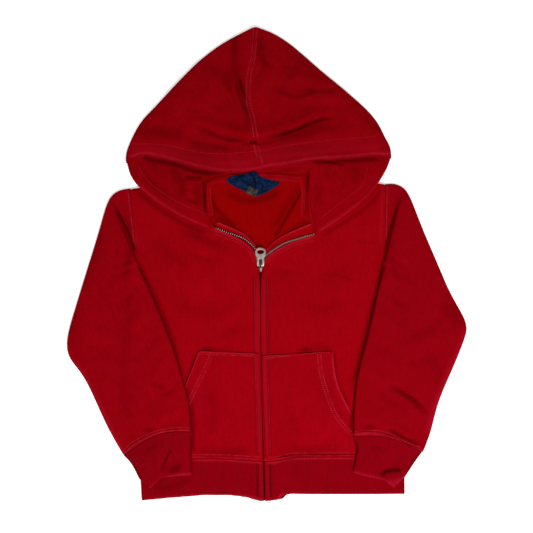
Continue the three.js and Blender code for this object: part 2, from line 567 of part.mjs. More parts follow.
// Hem band: one section from the left zip edge round the back to the right zip edge
function hemSection(down) {
  const radius = CLOTH + FOLD_AIR / 2;
  const leftX = THREE.MathUtils.lerp(HEM_SIDES.leftSeam, HEM_SIDES.leftEdge, down);
  const rightX = THREE.MathUtils.lerp(HEM_SIDES.rightSeam, HEM_SIDES.rightEdge, down);
  const zipLeftX = THREE.MathUtils.lerp(HEM_ZIP.leftSeam, HEM_ZIP.leftEdge, down);
  const zipRightX = THREE.MathUtils.lerp(HEM_ZIP.rightSeam, HEM_ZIP.rightEdge, down);
  const placeAt = (x) => {
    const seamY = valueAt(HEM_SEAM, x) - 2 * SEAM_GAP;
    return new THREE.Vector3(x, THREE.MathUtils.lerp(seamY, valueAt(HEM_EDGE, x), down), 0);
  };
  const stretch = (fromX, toX, steps, heightOf) => {
    const points = [];
    for (let i = 0; i <= steps; i += 1) {
      const place = placeAt(THREE.MathUtils.lerp(fromX, toX, i / steps));
      points.push(place.setZ(heightOf(place)));
    }
    return points;
  };
  const topHeight = (p) => Math.max(frontTop(p.x, p.y), 2 * radius);
  const toLeft = new THREE.Vector3(-1, 0, 0);
  const toRight = new THREE.Vector3(1, 0, 0);
  return [
    ...stretch(zipLeftX, leftX + radius, HEM_FRONT_STEPS, topHeight),
    ...foldPoints(placeAt(leftX), toLeft, 0),
    ...stretch(leftX + radius, rightX - radius, HEM_BACK_STEPS, () => 0),
    ...foldPoints(placeAt(rightX), toRight, 0).reverse(),
    ...stretch(rightX - radius, zipRightX, HEM_FRONT_STEPS, topHeight),
  ];
}

function hemBand() {
  const outer = [];
  for (let r = 0; r <= HEM_ROWS; r += 1) outer.push(hemSection(r / HEM_ROWS));
  return wall(outer, movedInward(outer, CLOTH, false), false);
}

// Back panel, flat on the surface, with its top edge over the shoulders and round the neck
function backPanel() {
  const first = BACK_TOP_EDGE[0];
  const last = BACK_TOP_EDGE[BACK_TOP_EDGE.length - 1];
  const shares = BACK_TOP_EDGE.map((p) => (p.x - first.x) / (last.x - first.x));
  const rises = BACK_TOP_EDGE.map((p, i) => p.y - THREE.MathUtils.lerp(first.y, last.y, shares[i]));
  const plainRows = FRONT_LEFT.length - BACK_RISE_OF_TOP_ROWS.length;
  const plan = FRONT_LEFT.map((row, r) => shares.map((share, i) => {
    const rise = r < plainRows ? 0 : BACK_RISE_OF_TOP_ROWS[r - plainRows];
    const point = leftPoint(row).lerp(rightPoint(FRONT_RIGHT[r]), share);
    if (r === 0) point.y = valueAt(HEM_SEAM, point.x) + SEAM_GAP;
    point.y += rise * rises[i];
    return point;
  }));
  return sheet(plan, () => 0, CLOTH);
}

// Front panel, whose lowest row follows the hem seam
function frontPanel(table) {
  const plan = panelPlan(table, PANEL_STEPS);
  plan[0].forEach((p) => { p.y = valueAt(HEM_SEAM, p.x) + SEAM_GAP; });
  return sheet(plan, (x, y) => frontTop(x, y) - CLOTH, CLOTH);
}

function pocket(table) {
  return sheet(panelPlan(table, PANEL_STEPS), (x, y) => frontTop(x, y) + LAYER_GAP, CLOTH);
}

// Plain tapes and the label lie level
function tape(table, height) {
  return sheet(panelPlan(table, TAPE_STEPS), () => height, TAPE);
}

// Solid of a geometry whose shared corners are merged, ready to be joined
const wasm = await Module();
wasm.setup();

function solidOf(geometry) {
  const bare = geometry.clone();
  bare.deleteAttribute('normal');
  bare.deleteAttribute('uv');
  const merged = mergeVertices(bare, 1e-4);
  return new wasm.Manifold(new wasm.Mesh({
    numProp: 3,
    vertProperties: new Float32Array(merged.attributes.position.array),
    triVerts: new Uint32Array(merged.index.array),
  }));
}

function geometryOf(solid) {
  const mesh = solid.getMesh();
  const geometry = new THREE.BufferGeometry();
  geometry.setAttribute('position', new THREE.BufferAttribute(mesh.vertProperties, 3));
  geometry.setIndex(new THREE.BufferAttribute(mesh.triVerts, 1));
  geometry.computeVertexNormals();
  return geometry;
}

// Slider plate, narrower towards the closed side, and the bridge over it with the eye for the pull
function zipSlider() {
  const half = SLIDER.width / 2;
  const plateOutline = new THREE.Shape([
    new THREE.Vector2(-half + SLIDER.taper, SLIDER.from),
    new THREE.Vector2(half - SLIDER.taper, SLIDER.from),
    new THREE.Vector2(half, SLIDER.from + 2 * SLIDER.taper),
    new THREE.Vector2(half, SLIDER.to - SLIDER.taper),
    new THREE.Vector2(half - SLIDER.taper, SLIDER.to),
    new THREE.Vector2(-half + SLIDER.taper, SLIDER.to),
    new THREE.Vector2(-half, SLIDER.to - SLIDER.taper),
    new THREE.Vector2(-half, SLIDER.from + 2 * SLIDER.taper),
  ]);
  const plateDepth = SLIDER.top - SLIDER.under;
  const plate = new THREE.ExtrudeGeometry(plateOutline, { depth: plateDepth, bevelEnabled: false });
  plate.translate(ZIP_X, 0, SLIDER.under);

  const { from, to, foot, top, corner } = BRIDGE;
  const side = new THREE.Shape();
  side.moveTo(from, foot);
  side.lineTo(to, foot);
  side.lineTo(to, top - corner);
  side.quadraticCurveTo(to, top, to - corner, top);
  side.lineTo(from + 2 * corner, top);
  side.quadraticCurveTo(from, top, from, SLIDER.top + corner);
  const eye = new THREE.Path();
  eye.moveTo(EYE.from, EYE.floor);
  eye.lineTo(EYE.to, EYE.floor);
  eye.lineTo(EYE.to, EYE.top);
  eye.lineTo(EYE.from, EYE.top);
  side.holes.push(eye);
  const bridgeSteps = { depth: BRIDGE.width, bevelEnabled: false, curveSegments: 5 };
  const bridge = new THREE.ExtrudeGeometry(side, bridgeSteps);
  const shapeToSide = new THREE.Matrix4().makeBasis(
    new THREE.Vector3(0, 1, 0),
    new THREE.Vector3(0, 0, 1),
    new THREE.Vector3(1, 0, 0),
  );
  bridge.applyMatrix4(shapeToSide);
  bridge.translate(ZIP_X - BRIDGE.width / 2, 0, 0);
  return geometryOf(solidOf(plate).add(solidOf(bridge)));
}

// Pull tab in its own frame, with the hinge bar at the origin and the ring towards +Y
function pullTab() {
  const outline = new THREE.Shape();
  const { half, below, corner } = TAB_FOOT;
  outline.moveTo(-half, 0);
  outline.quadraticCurveTo(-half, -below, -half + corner, -below);
  outline.lineTo(half - corner, -below);
  outline.quadraticCurveTo(half, -below, half, 0);
  outline.lineTo(TAB_NECK.half, TAB_NECK.topY);
  outline.quadraticCurveTo(TAB.headRadius, TAB_NECK.topY + TAB_NECK.flare, TAB.headRadius, TAB.headY);
  outline.absellipse(0, TAB.headY, TAB.headRadius, TAB.headHeight, 0, Math.PI, false);
  outline.quadraticCurveTo(-TAB.headRadius, TAB_NECK.topY + TAB_NECK.flare, -TAB_NECK.half, TAB_NECK.topY);
  const ringHole = new THREE.Path();
  const hole = TAB_RING_HOLE;
  ringHole.absellipse(0, hole.y, hole.halfWidth, hole.halfHeight, 0, 2 * Math.PI, true);
  const slot = new THREE.Path();
  slot.moveTo(-TAB_SLOT.half, TAB_SLOT.from);
  slot.lineTo(-TAB_SLOT.half, TAB_SLOT.to);
  slot.lineTo(TAB_SLOT.half, TAB_SLOT.to);
  slot.lineTo(TAB_SLOT.half, TAB_SLOT.from);
  outline.holes.push(ringHole, slot);
  const plateSteps = { depth: TAB.thickness, bevelEnabled: false, curveSegments: 10 };
  const plate = new THREE.ExtrudeGeometry(outline, plateSteps);
  plate.translate(0, 0, -TAB.thickness / 2);
  return plate;
}

const hoodie = new THREE.Group();

function addPiece(name, geometry, look) {
  const mesh = new THREE.Mesh(geometry, new THREE.MeshStandardMaterial(look));
  mesh.name = name;
  hoodie.add(mesh);
  return mesh;
}

addPiece('back', backPanel(), RED_CLOTH);
addPiece('front_left', frontPanel(FRONT_LEFT), RED_CLOTH);
addPiece('front_right', frontPanel(FRONT_RIGHT), RED_CLOTH);
addPiece('pocket_left', pocket(POCKET_LEFT), RED_CLOTH);
addPiece('pocket_right', pocket(POCKET_RIGHT), RED_CLOTH);
addPiece('hem_band', hemBand(), RED_RIB);
addPiece('sleeve_left', tube(SLEEVE_LEFT, SLEEVE_STEPS, underSleeve, bowOf), RED_CLOTH);
addPiece('sleeve_right', tube(SLEEVE_RIGHT, SLEEVE_STEPS, underSleeve, bowOf), RED_CLOTH);
addPiece('cuff_left', tube(CUFF_LEFT, CUFF_STEPS, underSleeve, cuffShape(true)), RED_RIB);
addPiece('cuff_right', tube(CUFF_RIGHT, CUFF_STEPS, underSleeve, cuffShape(false)), RED_RIB);
addPiece('hood_left', hoodSide(HOOD_LEFT, LIP_LEFT, RIM_LEFT, -1), RED_CLOTH);
addPiece('hood_right', hoodSide(HOOD_RIGHT, LIP_RIGHT, RIM_RIGHT, 1), RED_CLOTH);
addPiece('neck_tape', tape(NECK_TAPE, NECK_TAPE_HEIGHT), RED_TAPE);
addPiece('label', tape(LABEL, LABEL_HEIGHT), NAVY_LABEL);
addPiece('zip_tape_left', tape(ZIP_TAPE_LEFT, ZIP_TAPE_HEIGHT), RED_TAPE);
addPiece('zip_tape_right', tape(ZIP_TAPE_RIGHT, ZIP_TAPE_HEIGHT), RED_TAPE);
addPiece('zip_slider', zipSlider(), PEWTER);
const pull = addPiece('pull_tab', pullTab(), PEWTER);
pull.position.set(ZIP_X, HINGE_Y, HINGE_Z);

export default hoodie;
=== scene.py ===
# Child's zip-front hooded sweatshirt in red brushed fleece, laid flat on its back with the sleeves
# folded down over the fronts. Metres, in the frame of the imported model: X runs to the viewer's
# right, Y towards the hood and Z up from the surface that it lies on.

import json
import math

import bpy
import numpy as np
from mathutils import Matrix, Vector
from mathutils.bvhtree import BVHTree

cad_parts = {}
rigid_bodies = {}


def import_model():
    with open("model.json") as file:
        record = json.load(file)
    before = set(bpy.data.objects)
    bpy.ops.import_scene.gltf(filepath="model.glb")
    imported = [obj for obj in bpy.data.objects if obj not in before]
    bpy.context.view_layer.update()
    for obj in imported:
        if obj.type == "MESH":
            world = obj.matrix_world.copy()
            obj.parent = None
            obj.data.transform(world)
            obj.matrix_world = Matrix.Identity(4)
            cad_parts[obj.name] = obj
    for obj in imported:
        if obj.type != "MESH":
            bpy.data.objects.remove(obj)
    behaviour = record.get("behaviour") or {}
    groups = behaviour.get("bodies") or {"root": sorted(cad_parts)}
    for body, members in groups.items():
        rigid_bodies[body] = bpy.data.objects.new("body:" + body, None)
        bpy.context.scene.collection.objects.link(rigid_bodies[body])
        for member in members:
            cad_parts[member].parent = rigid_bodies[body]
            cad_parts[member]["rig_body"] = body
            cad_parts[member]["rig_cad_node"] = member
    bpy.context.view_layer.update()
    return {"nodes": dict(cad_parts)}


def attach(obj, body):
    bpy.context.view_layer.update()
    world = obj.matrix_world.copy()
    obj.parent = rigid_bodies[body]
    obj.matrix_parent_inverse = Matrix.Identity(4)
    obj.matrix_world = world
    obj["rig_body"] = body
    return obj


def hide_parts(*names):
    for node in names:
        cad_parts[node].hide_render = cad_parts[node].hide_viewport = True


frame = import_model()
MM = 0.001


# Back panel. One piece of brushed fleece from the shoulders to the hem seam, cut on the knit's length,
# with its brushed side up. It lies flat on the surface and shows in the V of the neck, where it is
# less faded than the outside.

def only(*pieces):
    if bpy.context.object and bpy.context.object.mode != "OBJECT":
        bpy.ops.object.mode_set(mode="OBJECT")
    bpy.ops.object.select_all(action="DESELECT")
    for piece in pieces:
        piece.select_set(True)
    bpy.context.view_layer.objects.active = pieces[0]


def apply_modifier(piece, kind, **settings):
    only(piece)
    modifier = piece.modifiers.new(kind.title(), kind)
    for key, value in settings.items():
        setattr(modifier, key, value)
    bpy.ops.object.modifier_apply(modifier=modifier.name)


def split_finer(piece):
    """More points to lay creases with, on the same form."""
    apply_modifier(piece, "SUBSURF", levels=1, render_levels=1, subdivision_type="SIMPLE")


def sewn_from(node, name, finer=2, denser=True, rim=0.7 * MM, sharp=50):
    """A smooth copy of a cut piece: its loose triangles joined, its cut edges kept and rounded."""
    piece = frame["nodes"][node].copy()
    piece.data = piece.data.copy()
    piece.name = piece.data.name = name
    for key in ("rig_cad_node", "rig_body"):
        if key in piece:
            del piece[key]
    piece.parent = None
    bpy.context.scene.collection.objects.link(piece)
    piece.data.materials.clear()
    only(piece)
    bpy.ops.object.mode_set(mode="EDIT")
    bpy.ops.mesh.select_all(action="SELECT")
    bpy.ops.mesh.remove_doubles(threshold=0.02 * MM)
    bpy.ops.mesh.normals_make_consistent(inside=False)
    bpy.ops.mesh.tris_convert_to_quads(face_threshold=math.radians(60), shape_threshold=math.radians(60))
    bpy.ops.mesh.select_all(action="DESELECT")
    bpy.ops.mesh.select_mode(type="EDGE")
    bpy.ops.mesh.edges_select_sharp(sharpness=math.radians(sharp))
    bpy.ops.transform.edge_crease(value=1)
    bpy.ops.object.mode_set(mode="OBJECT")
    if finer:
        apply_modifier(piece, "SUBSURF", levels=finer, render_levels=finer,
                       boundary_smooth="PRESERVE_CORNERS")
    apply_modifier(piece, "BEVEL", width=rim, segments=2, limit_method="ANGLE",
                   angle_limit=math.radians(sharp), use_clamp_overlap=True)
    only(piece)
    bpy.ops.object.shade_smooth()
    if denser:
        split_finer(piece)
    return piece


def points_of(piece):
    places = np.empty(len(piece.data.vertices) * 3)
    piece.data.vertices.foreach_get("co", places)
    return places.reshape(-1, 3)


def set_points(piece, places):
    piece.data.vertices.foreach_set("co", places.reshape(-1))
    piece.data.update()


def smooth_line(path, step=4.0):
    """The path's points in mm, rounded through its corners and a few millimetres apart."""
    path = np.array(path, float)
    if len(path) > 2:
        ends = np.vstack([2 * path[0] - path[1], path, 2 * path[-1] - path[-2]])
        t = np.linspace(0, 1, 9)[:, None]
        parts = []
        for n in range(len(path) - 1):
            a, b, c, d = ends[n:n + 4]
            parts.append(0.5 * (2 * b + (c - a) * t + (2 * a - 5 * b + 4 * c - d) * t ** 2
                                + (3 * b - a - 3 * c + d) * t ** 3)[:-1])
        path = np.vstack([*parts, path[-1:]])
    runs = np.concatenate([[0], np.cumsum(np.hypot(*(path[1:] - path[:-1]).T))])
    count = max(2, int(round(runs[-1] / step)) + 1)
    places = np.linspace(0, runs[-1], count)
    return np.column_stack([np.interp(places, runs, path[:, 0]), np.interp(places, runs, path[:, 1])])


def near_path(x, y, path):
    """How far each point lies to the left of a path's run, in mm (to the right where negative), and the
    share of the path's length at the nearest place."""
    path = smooth_line(path, step=6)
    runs = np.hypot(*(path[1:] - path[:-1]).T)
    starts = np.concatenate([[0], np.cumsum(runs)])
    nearest = np.full(len(x), 1e9)
    share = np.zeros(len(x))
    side = np.ones(len(x))
    for n, run in enumerate(runs):
        step = (path[n + 1] - path[n]) / run
        over, up = x - path[n, 0], y - path[n, 1]
        along = np.clip(over * step[0] + up * step[1], 0, run)
        away = np.hypot(over - along * step[0], up - along * step[1])
        closer = away < nearest
        nearest[closer] = away[closer]
        share[closer] = (starts[n] + along[closer]) / starts[-1]
        side[closer] = np.where(step[0] * up >= step[1] * over, 1, -1)[closer]
    return nearest * side, share


def ease(value, low, high):
    t = np.clip((value - low) / (high - low), 0, 1)
    return t * t * (3 - 2 * t)


RIPPLE = {"depth": 0.22, "turns": 11, "shift": 1.7}
LAP = {"edge": (-1, 1.8), "hollow": 0.3, "under": 2.2, "soft": 2.6}


def stroke(wide, amount, *path, fade=0.3, fade_out=None, lap=0):
    """A line laid on the cloth, in mm: its width, how high (or deep, or strong) it is, its points,
    the share of its length over which each end fades, and for a crease that laps the side (1 for the left)
    on which the cloth stands over the other."""
    return {"wide": wide, "amount": amount, "path": path, "fade": fade,
            "fade_out": fade if fade_out is None else fade_out, "lap": lap}


def crease_rise(x, y, creases):
    """Rise in mm of soft creases at each point."""
    rise = np.zeros(len(x))
    for crease in creases:
        wide = crease["wide"]
        away, share = near_path(x, y, crease["path"])
        ends = ease(share, 0, crease["fade"]) * ease(1 - share, 0, crease["fade_out"])
        uneven = 1 + RIPPLE["depth"] * np.sin(share * RIPPLE["turns"] + RIPPLE["shift"] * wide)
        profile = np.exp(-(away / wide) ** 2)
        if crease["lap"]:
            inward = away * crease["lap"]
            over = np.exp(-(np.maximum(inward, 0) / wide) ** 2) * ease(inward, *LAP["edge"])
            profile = over - LAP["hollow"] * np.exp(-((inward + LAP["under"]) / LAP["soft"]) ** 2)
        rise += crease["amount"] * uneven * ends * profile
    return rise


def lay_creases(piece, creases, from_height=3, over=1.2):
    """Raises the cloth in creases where it lies higher than a height in mm."""
    places = points_of(piece)
    above = ease(places[:, 2] / MM, from_height, from_height + over)
    places[:, 2] += above * crease_rise(places[:, 0] / MM, places[:, 1] / MM, creases) * MM
    set_points(piece, places)


back = sewn_from("back", "back_panel")
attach(back, "garment")
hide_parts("back")


def shader_group(name, takes, gives):
    group = bpy.data.node_groups.new(name, "ShaderNodeTree")
    for label, kind, start in takes:
        socket = group.interface.new_socket(label, in_out="INPUT", socket_type=kind)
        socket.default_value = start
    for label, kind in gives:
        group.interface.new_socket(label, in_out="OUTPUT", socket_type=kind)
    return group, group.nodes.new("NodeGroupInput"), group.nodes.new("NodeGroupOutput")


def put(tree, kind, settings=None, **values):
    """A node in a tree, with its settings and the values or links of its inputs."""
    node = tree.nodes.new("ShaderNode" + kind)
    for key, value in (settings or {}).items():
        setattr(node, key, value)
    for key, value in values.items():
        socket = node.inputs[int(key[1:])] if key[0] == "i" and key[1:].isdigit() else node.inputs[key]
        if isinstance(value, bpy.types.NodeSocket):
            tree.links.new(value, socket)
        else:
            socket.default_value = value
    return node


def mix_colour(tree, share, first, second):
    node = tree.nodes.new("ShaderNodeMix")
    node.data_type = "RGBA"
    for socket, value in ((node.inputs[0], share), (node.inputs[6], first), (node.inputs[7], second)):
        if isinstance(value, bpy.types.NodeSocket):
            tree.links.new(value, socket)
        else:
            socket.default_value = value
    return node.outputs[2]


def remap(tree, value, start, end, to=(0, 1)):
    """A value between two limits, spread over another range."""
    return put(tree, "MapRange", Value=value,
               **{"From Min": start, "From Max": end, "To Min": to[0], "To Max": to[1]}).outputs[0]


def maths(tree, operation, *values, clamp=False):
    settings = {"operation": operation, "use_clamp": clamp}
    return put(tree, "Math", settings, **{f"i{n}": value for n, value in enumerate(values)}).outputs[0]


def build_knit_group():
    """Brushed sweatshirt knit: fine wales, a short nap, soft mottling, seams paler with wear, painted
    highlights and painted shade.
    """
    paint, number = "NodeSocketColor", "NodeSocketFloat"
    group, taken, given = shader_group(
        "sweatshirt_knit",
        [("Vector", "NodeSocketVector", (0, 0, 0)), ("Cloth", paint, (0.3, 0.002, 0.006, 1)),
         ("Shade", paint, (0.2, 0.001, 0.004, 1)), ("Faded", paint, (0.45, 0.02, 0.05, 1)),
         ("Fading", number, 0.0), ("Hollow", number, 0.0), ("Wale", number, 300.0), ("Mottle", number, 0.5),
         ("Nap", number, 0.5)],
        [("Color", paint), ("Height", number), ("Roughness", number)],
    )
    place, shade = taken.outputs["Vector"], taken.outputs["Shade"]
    broad = put(group, "TexNoise", Vector=place, Scale=16, Detail=4, Roughness=0.6).outputs["Fac"]
    patch = put(group, "TexNoise", Vector=place, Scale=110, Detail=4, Roughness=0.75).outputs["Fac"]
    nap = put(group, "TexNoise", Vector=place, Scale=620, Detail=3, Roughness=0.7).outputs["Fac"]
    drawn = put(group, "VectorMath", {"operation": "MULTIPLY"}, i0=place, i1=(1, 0.1, 1)).outputs[0]
    grain = put(group, "TexNoise", Vector=drawn, Scale=460, Detail=3, Roughness=0.7).outputs["Fac"]
    wales, courses = [
        put(group, "TexWave", {"wave_type": "BANDS", "bands_direction": way, "wave_profile": "SIN"},
            Vector=place, Scale=taken.outputs["Wale"], Distortion=2.5, Detail=2,
            **{"Detail Scale": 1.5}).outputs["Fac"] for way in ("X", "Y")]
    loops = maths(group, "MULTIPLY", wales, courses)
    tone = remap(group, broad, 0.3, 0.72)
    speck = remap(group, patch, 0.32, 0.7)
    shade_share = maths(group, "MULTIPLY_ADD", speck, 0.6, -0.1, clamp=True)
    broad_share = maths(group, "MULTIPLY_ADD", tone, 0.75, shade_share, clamp=True)
    mottled = maths(group, "MULTIPLY", broad_share, taken.outputs["Mottle"])
    colour = mix_colour(group, mottled, taken.outputs["Cloth"], shade)
    colour = mix_colour(group, remap(group, nap, 0.35, 0.68, (0, 0.6)), colour, shade)
    colour = mix_colour(group, remap(group, grain, 0.42, 0.66, (0, 0.5)), colour, shade)
    # Painted shade: near-black red mixed in where the hollow share is laid, along creases, folds and under
    # edges.
    colour = mix_colour(group, taken.outputs["Hollow"], colour, (0.035, 0.0, 0.0, 1))
    # Paler colour in patches: seams paler with wear, and painted highlights on rolled edges, lips and
    # folds.
    rubbed = remap(group, patch, 0.35, 0.6, (0.55, 1))
    pale_tone = maths(group, "MULTIPLY", taken.outputs["Fading"], rubbed, clamp=True)
    colour = mix_colour(group, pale_tone, colour, taken.outputs["Faded"])
    nap_height = maths(group, "MULTIPLY", nap, taken.outputs["Nap"])
    knit_height = maths(group, "MULTIPLY_ADD", loops, 0.5, nap_height)
    height = maths(group, "MULTIPLY_ADD", patch, 0.9, knit_height)
    rough = remap(group, nap, 0, 1, (0.86, 1))
    for label, value in (("Color", colour), ("Height", height), ("Roughness", rough)):
        group.links.new(value, given.inputs[label])
    return group


def new_material(name, even):
    """A material and its tree, with the values that are the same all over set on its shader."""
    material = bpy.data.materials.new(name)
    material.use_nodes = True
    for label, value in even.items():
        material.node_tree.nodes["Principled BSDF"].inputs[label].default_value = value
    return material, material.node_tree


def surface(tree, colour, rough, height, strength, lift):
    """Joins colour, roughness and a fine relief, so many metres high, to the tree's shader."""
    bump = put(tree, "Bump", Strength=strength, Distance=lift, Height=height)
    for label, value in (("Base Color", colour), ("Roughness", rough), ("Normal", bump.outputs[0])):
        tree.links.new(value, tree.nodes["Principled BSDF"].inputs[label])


KNIT_GROUP = build_knit_group()


def knit_material(name, cloth, shade, faded, turn=0.0, wale=300.0, mottle=0.5, nap=0.5, lift=0.35 * MM):
    """Red sweatshirt cloth, with the knit's length turned by an angle in degrees from the Y axis."""
    material, tree = new_material(name, {"Specular IOR Level": 0.008, "Sheen Weight": 0.04,
                                         "Sheen Roughness": 0.5, "Sheen Tint": (1, 0.0, 0.04, 1)})
    place = put(tree, "TexCoord")
    turned = put(tree, "Mapping", Vector=place.outputs["Object"], Rotation=(0, 0, math.radians(turn)))
    # Shares laid on each piece: the first marks seams paler with wear and painted highlights, the hollow
    # share marks painted shade.
    fading = put(tree, "Attribute", {"attribute_name": "fading"})
    hollow = put(tree, "Attribute", {"attribute_name": "hollow"})
    knit = put(tree, "Group", {"node_tree": KNIT_GROUP}, Cloth=(*cloth, 1), Shade=(*shade, 1),
               Faded=(*faded, 1), Wale=wale, Mottle=mottle, Nap=nap, Vector=turned.outputs[0],
               Fading=fading.outputs["Fac"], Hollow=hollow.outputs["Fac"])
    surface(tree, knit.outputs["Color"], knit.outputs["Roughness"], knit.outputs["Height"],
            strength=0.8, lift=lift)
    return material


BEYOND_END = -0.02


def paint_lines(piece, name, lines):
    """A share from 0 to 1 on each point of the cloth, highest on the given paths."""
    places = points_of(piece) / MM
    share = np.zeros(len(places))
    for line in lines:
        away, along = near_path(places[:, 0], places[:, 1], line["path"])
        ends = ease(along, BEYOND_END, line["fade"]) * ease(1 - along, BEYOND_END, line["fade"])
        share = np.maximum(share, line["amount"] * ends * np.exp(-(away / line["wide"]) ** 2))
    layer = piece.data.attributes.new(name, "FLOAT", "POINT")
    layer.data.foreach_set("value", share)


INSIDE_FLEECE = knit_material("inside_fleece", (0.290, 0.0004, 0.0010), (0.20, 0.0002, 0.0005),
                              (0.42, 0.01, 0.02), wale=260.0, mottle=0.5, nap=1.0, lift=0.6 * MM)
back.data.materials.append(INSIDE_FLEECE)
BACK_CREASES = [
    stroke(4, 1.3, (55, 108), (42, 88), (30, 67), (17, 46), (11, 37), fade=0.1, lap=1),
    stroke(7, 0.9, (-70, 100), (-52, 84), (-30, 74)),
    stroke(9, 0.7, (-12, 70), (8, 56), (20, 30)),
]
# Painted shade on the back: beside its lapped crease, along the strips at the neck, and below the label.
BACK_PAINTED_SHADE = [
    stroke(2.0, 0.7, (53, 108), (41, 88), (28, 67), (16, 46), (10, 37), fade=0.08),
    stroke(6, 0.26, (48, 109), (34, 90), (20, 67), (9, 48), fade=0.1),
    stroke(4, 0.5, (-85, 109), (-73, 81), (-57, 63), (-40, 51), fade=0.1),
    stroke(6, 0.4, (-85, 118), (-81, 90), (-75, 62), fade=0.1),
    stroke(4, 0.45, (-74, 67), (-49, 53), (-29, 39), (-12, 23), fade=0.1),
    stroke(4, 0.35, (-4, 20), (13, 34), (35, 48), (60, 62), fade=0.1),
    stroke(5, 0.4, (-60, 104), (-35, 90), (-7, 90), (24, 104), fade=0.2),
]
lay_creases(back, BACK_CREASES, from_height=0.6, over=1.0)
paint_lines(back, "fading", [])
paint_lines(back, "hollow", BACK_PAINTED_SHADE)


# Fronts, the viewer's left and right. Each is one piece of fleece, sewn to the back at the shoulder and
# side, to the sleeve at the armhole and to the zip tape down the middle, with its edge turned in and
# topstitched beside the zip. The cloth is a little loose and lies in low waves.

BODY_CREASES = [
    stroke(5, 0.9, (-16, -30), (-15, -75), (-18, -120), (-15, -160), fade=0.15),
    stroke(5, 0.8, (0, -40), (2, -95), (0, -150), fade=0.15),
    stroke(9, -0.8, (-30, -22), (-28, -60), (-34, -105)),
    stroke(9, -0.7, (18, -18), (22, -70), (18, -110)),
    stroke(9, 1.4, (-126, 44), (-96, 30), (-60, 22)),
    stroke(8, -1.1, (-128, 30), (-100, 12), (-62, 6)),
    stroke(12, 1.3, (-150, 10), (-118, -22), (-70, -40)),
    stroke(11, -1.0, (-140, -14), (-104, -48), (-60, -62)),
    stroke(9, 1.3, (100, 36), (72, 18), (36, 8)),
    stroke(11, -1.0, (122, 20), (86, -8), (44, -20)),
    stroke(13, 1.1, (132, -10), (96, -40), (50, -52)),
    stroke(14, -0.8, (-110, -84), (-70, -92), (-32, -88)),
    stroke(14, -0.8, (118, -84), (80, -94), (30, -92)),
    stroke(6, 1.1, (-96, -182), (-74, -200), (-58, -226)),
    stroke(8, -0.8, (-80, -170), (-56, -196), (-44, -226)),
    stroke(7, 1.1, (-88, -236), (-60, -244), (-30, -240)),
    stroke(5, -1.3, (-72, -254), (-44, -258), (-24, -256)),
    stroke(7, 1.1, (28, -176), (42, -200), (38, -230)),
    stroke(7, -1.0, (50, -184), (66, -214), (62, -244)),
    stroke(7, 1.0, (24, -212), (52, -222), (84, -214)),
    stroke(6, -1.1, (20, -240), (54, -250), (92, -246)),
    stroke(6, 1.0, (110, -228), (118, -246), (112, -262)),
]
FLEECE = (0.322, 0.0002, 0.0042)
FLEECE_SHADE = (0.20, 0.0002, 0.0025)
# Paler red for seams with wear and for painted highlights on edges.
FLEECE_WEAR_AND_HIGHLIGHT = (0.43, 0.008, 0.022)
ZIP_PUCKERS = [
    stroke(3.2, 0.8, (-14.5, -24), (-14, -60), (-14.6, -110), (-13, -170), (-11.5, -220), (-9.5, -268),
           fade=0.03),
    stroke(3.2, 0.8, (-3.6, -24), (-3.4, -60), (-3, -110), (-2, -170), (-0.6, -220), (1.6, -268),
           fade=0.03),
    stroke(3.4, 1.0, (-16, 3), (-21, 15), (-35, 28), (-55, 37), (-76, 44), fade=0.05),
    stroke(3.4, 1.0, (-1.5, 1), (4, 6), (18, 16), (43, 27.5), (66, 35), fade=0.05),
]
CHAIN_LINE = [(-8.8, -10), (-8.8, -57), (-8.5, -113), (-7.5, -169), (-6.2, -218), (-4.6, -270),
              (-3.2, -330)]
CHAIN_MIDDLE = ([10, 169, 330], [-8.8, -7.5, -3.2])
ROLL = 0.55 * MM


def close_edges(piece):
    """The turned-in edges beside the zip roll a little over the chain, from below the slider down."""
    places = points_of(piece)
    away, along = near_path(places[:, 0] / MM, places[:, 1] / MM, CHAIN_LINE)
    side = np.sign(places[:, 0] / MM - np.interp(-places[:, 1] / MM, *CHAIN_MIDDLE))
    places[:, 0] -= side * ROLL * np.exp(-(away / 3) ** 2) * ease(along, 0.02, 0.2)
    set_points(piece, places)


FRONTS = {}
for side in ("left", "right"):
    front = sewn_from("front_" + side, "front_panel_" + side)
    lay_creases(front, BODY_CREASES + ZIP_PUCKERS)
    close_edges(front)
    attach(front, "garment")
    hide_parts("front_" + side)
    FRONTS[side] = front
FRONT_FLEECE = knit_material("front_fleece", FLEECE, FLEECE_SHADE, FLEECE_WEAR_AND_HIGHLIGHT, mottle=0.62, nap=0.7)
PLACKET_LEFT = [(-14.2, -20), (-14, -60), (-13.8, -113), (-13, -169), (-11, -220), (-9.5, -268)]
PLACKET_RIGHT = [(-3.4, -20), (-3.4, -60), (-3, -113), (-2, -169), (-0.6, -220), (1.6, -268)]
ZIP_STITCH_LEFT = [(-17.5, -16), (-17, -60), (-16.6, -110), (-15.5, -160), (-14, -210), (-12.6, -266)]
ZIP_STITCH_RIGHT = [(0.6, -16), (0.8, -60), (1.2, -110), (2, -160), (3.4, -210), (4.8, -266)]
# Paler paint on the fronts: placket strips and armhole seams paler with wear, and painted highlights on the
# rolled neck edges.
FRONT_WEAR_AND_HIGHLIGHTS = {
    "left": [
        stroke(3.4, 0.2, *PLACKET_LEFT, fade=0.05),
        stroke(2.4, 0.6, (-14, 4), (-19.5, 19), (-34, 32), (-55, 41), (-75, 48), fade=0.05),
        stroke(2, 0.2, (-192, 104), (-187.5, 80), (-184.5, 50), (-182, 26), fade=0.05),
    ],
    "right": [
        stroke(3.4, 0.2, *PLACKET_RIGHT, fade=0.05),
        stroke(2.4, 0.6, (-3.6, 3), (2, 9.6), (16, 20), (41.5, 31.5), (67, 39), fade=0.05),
        stroke(2, 0.2, (161, 111), (160.5, 82), (159.6, 50), (159.2, 26), fade=0.05),
    ],
}
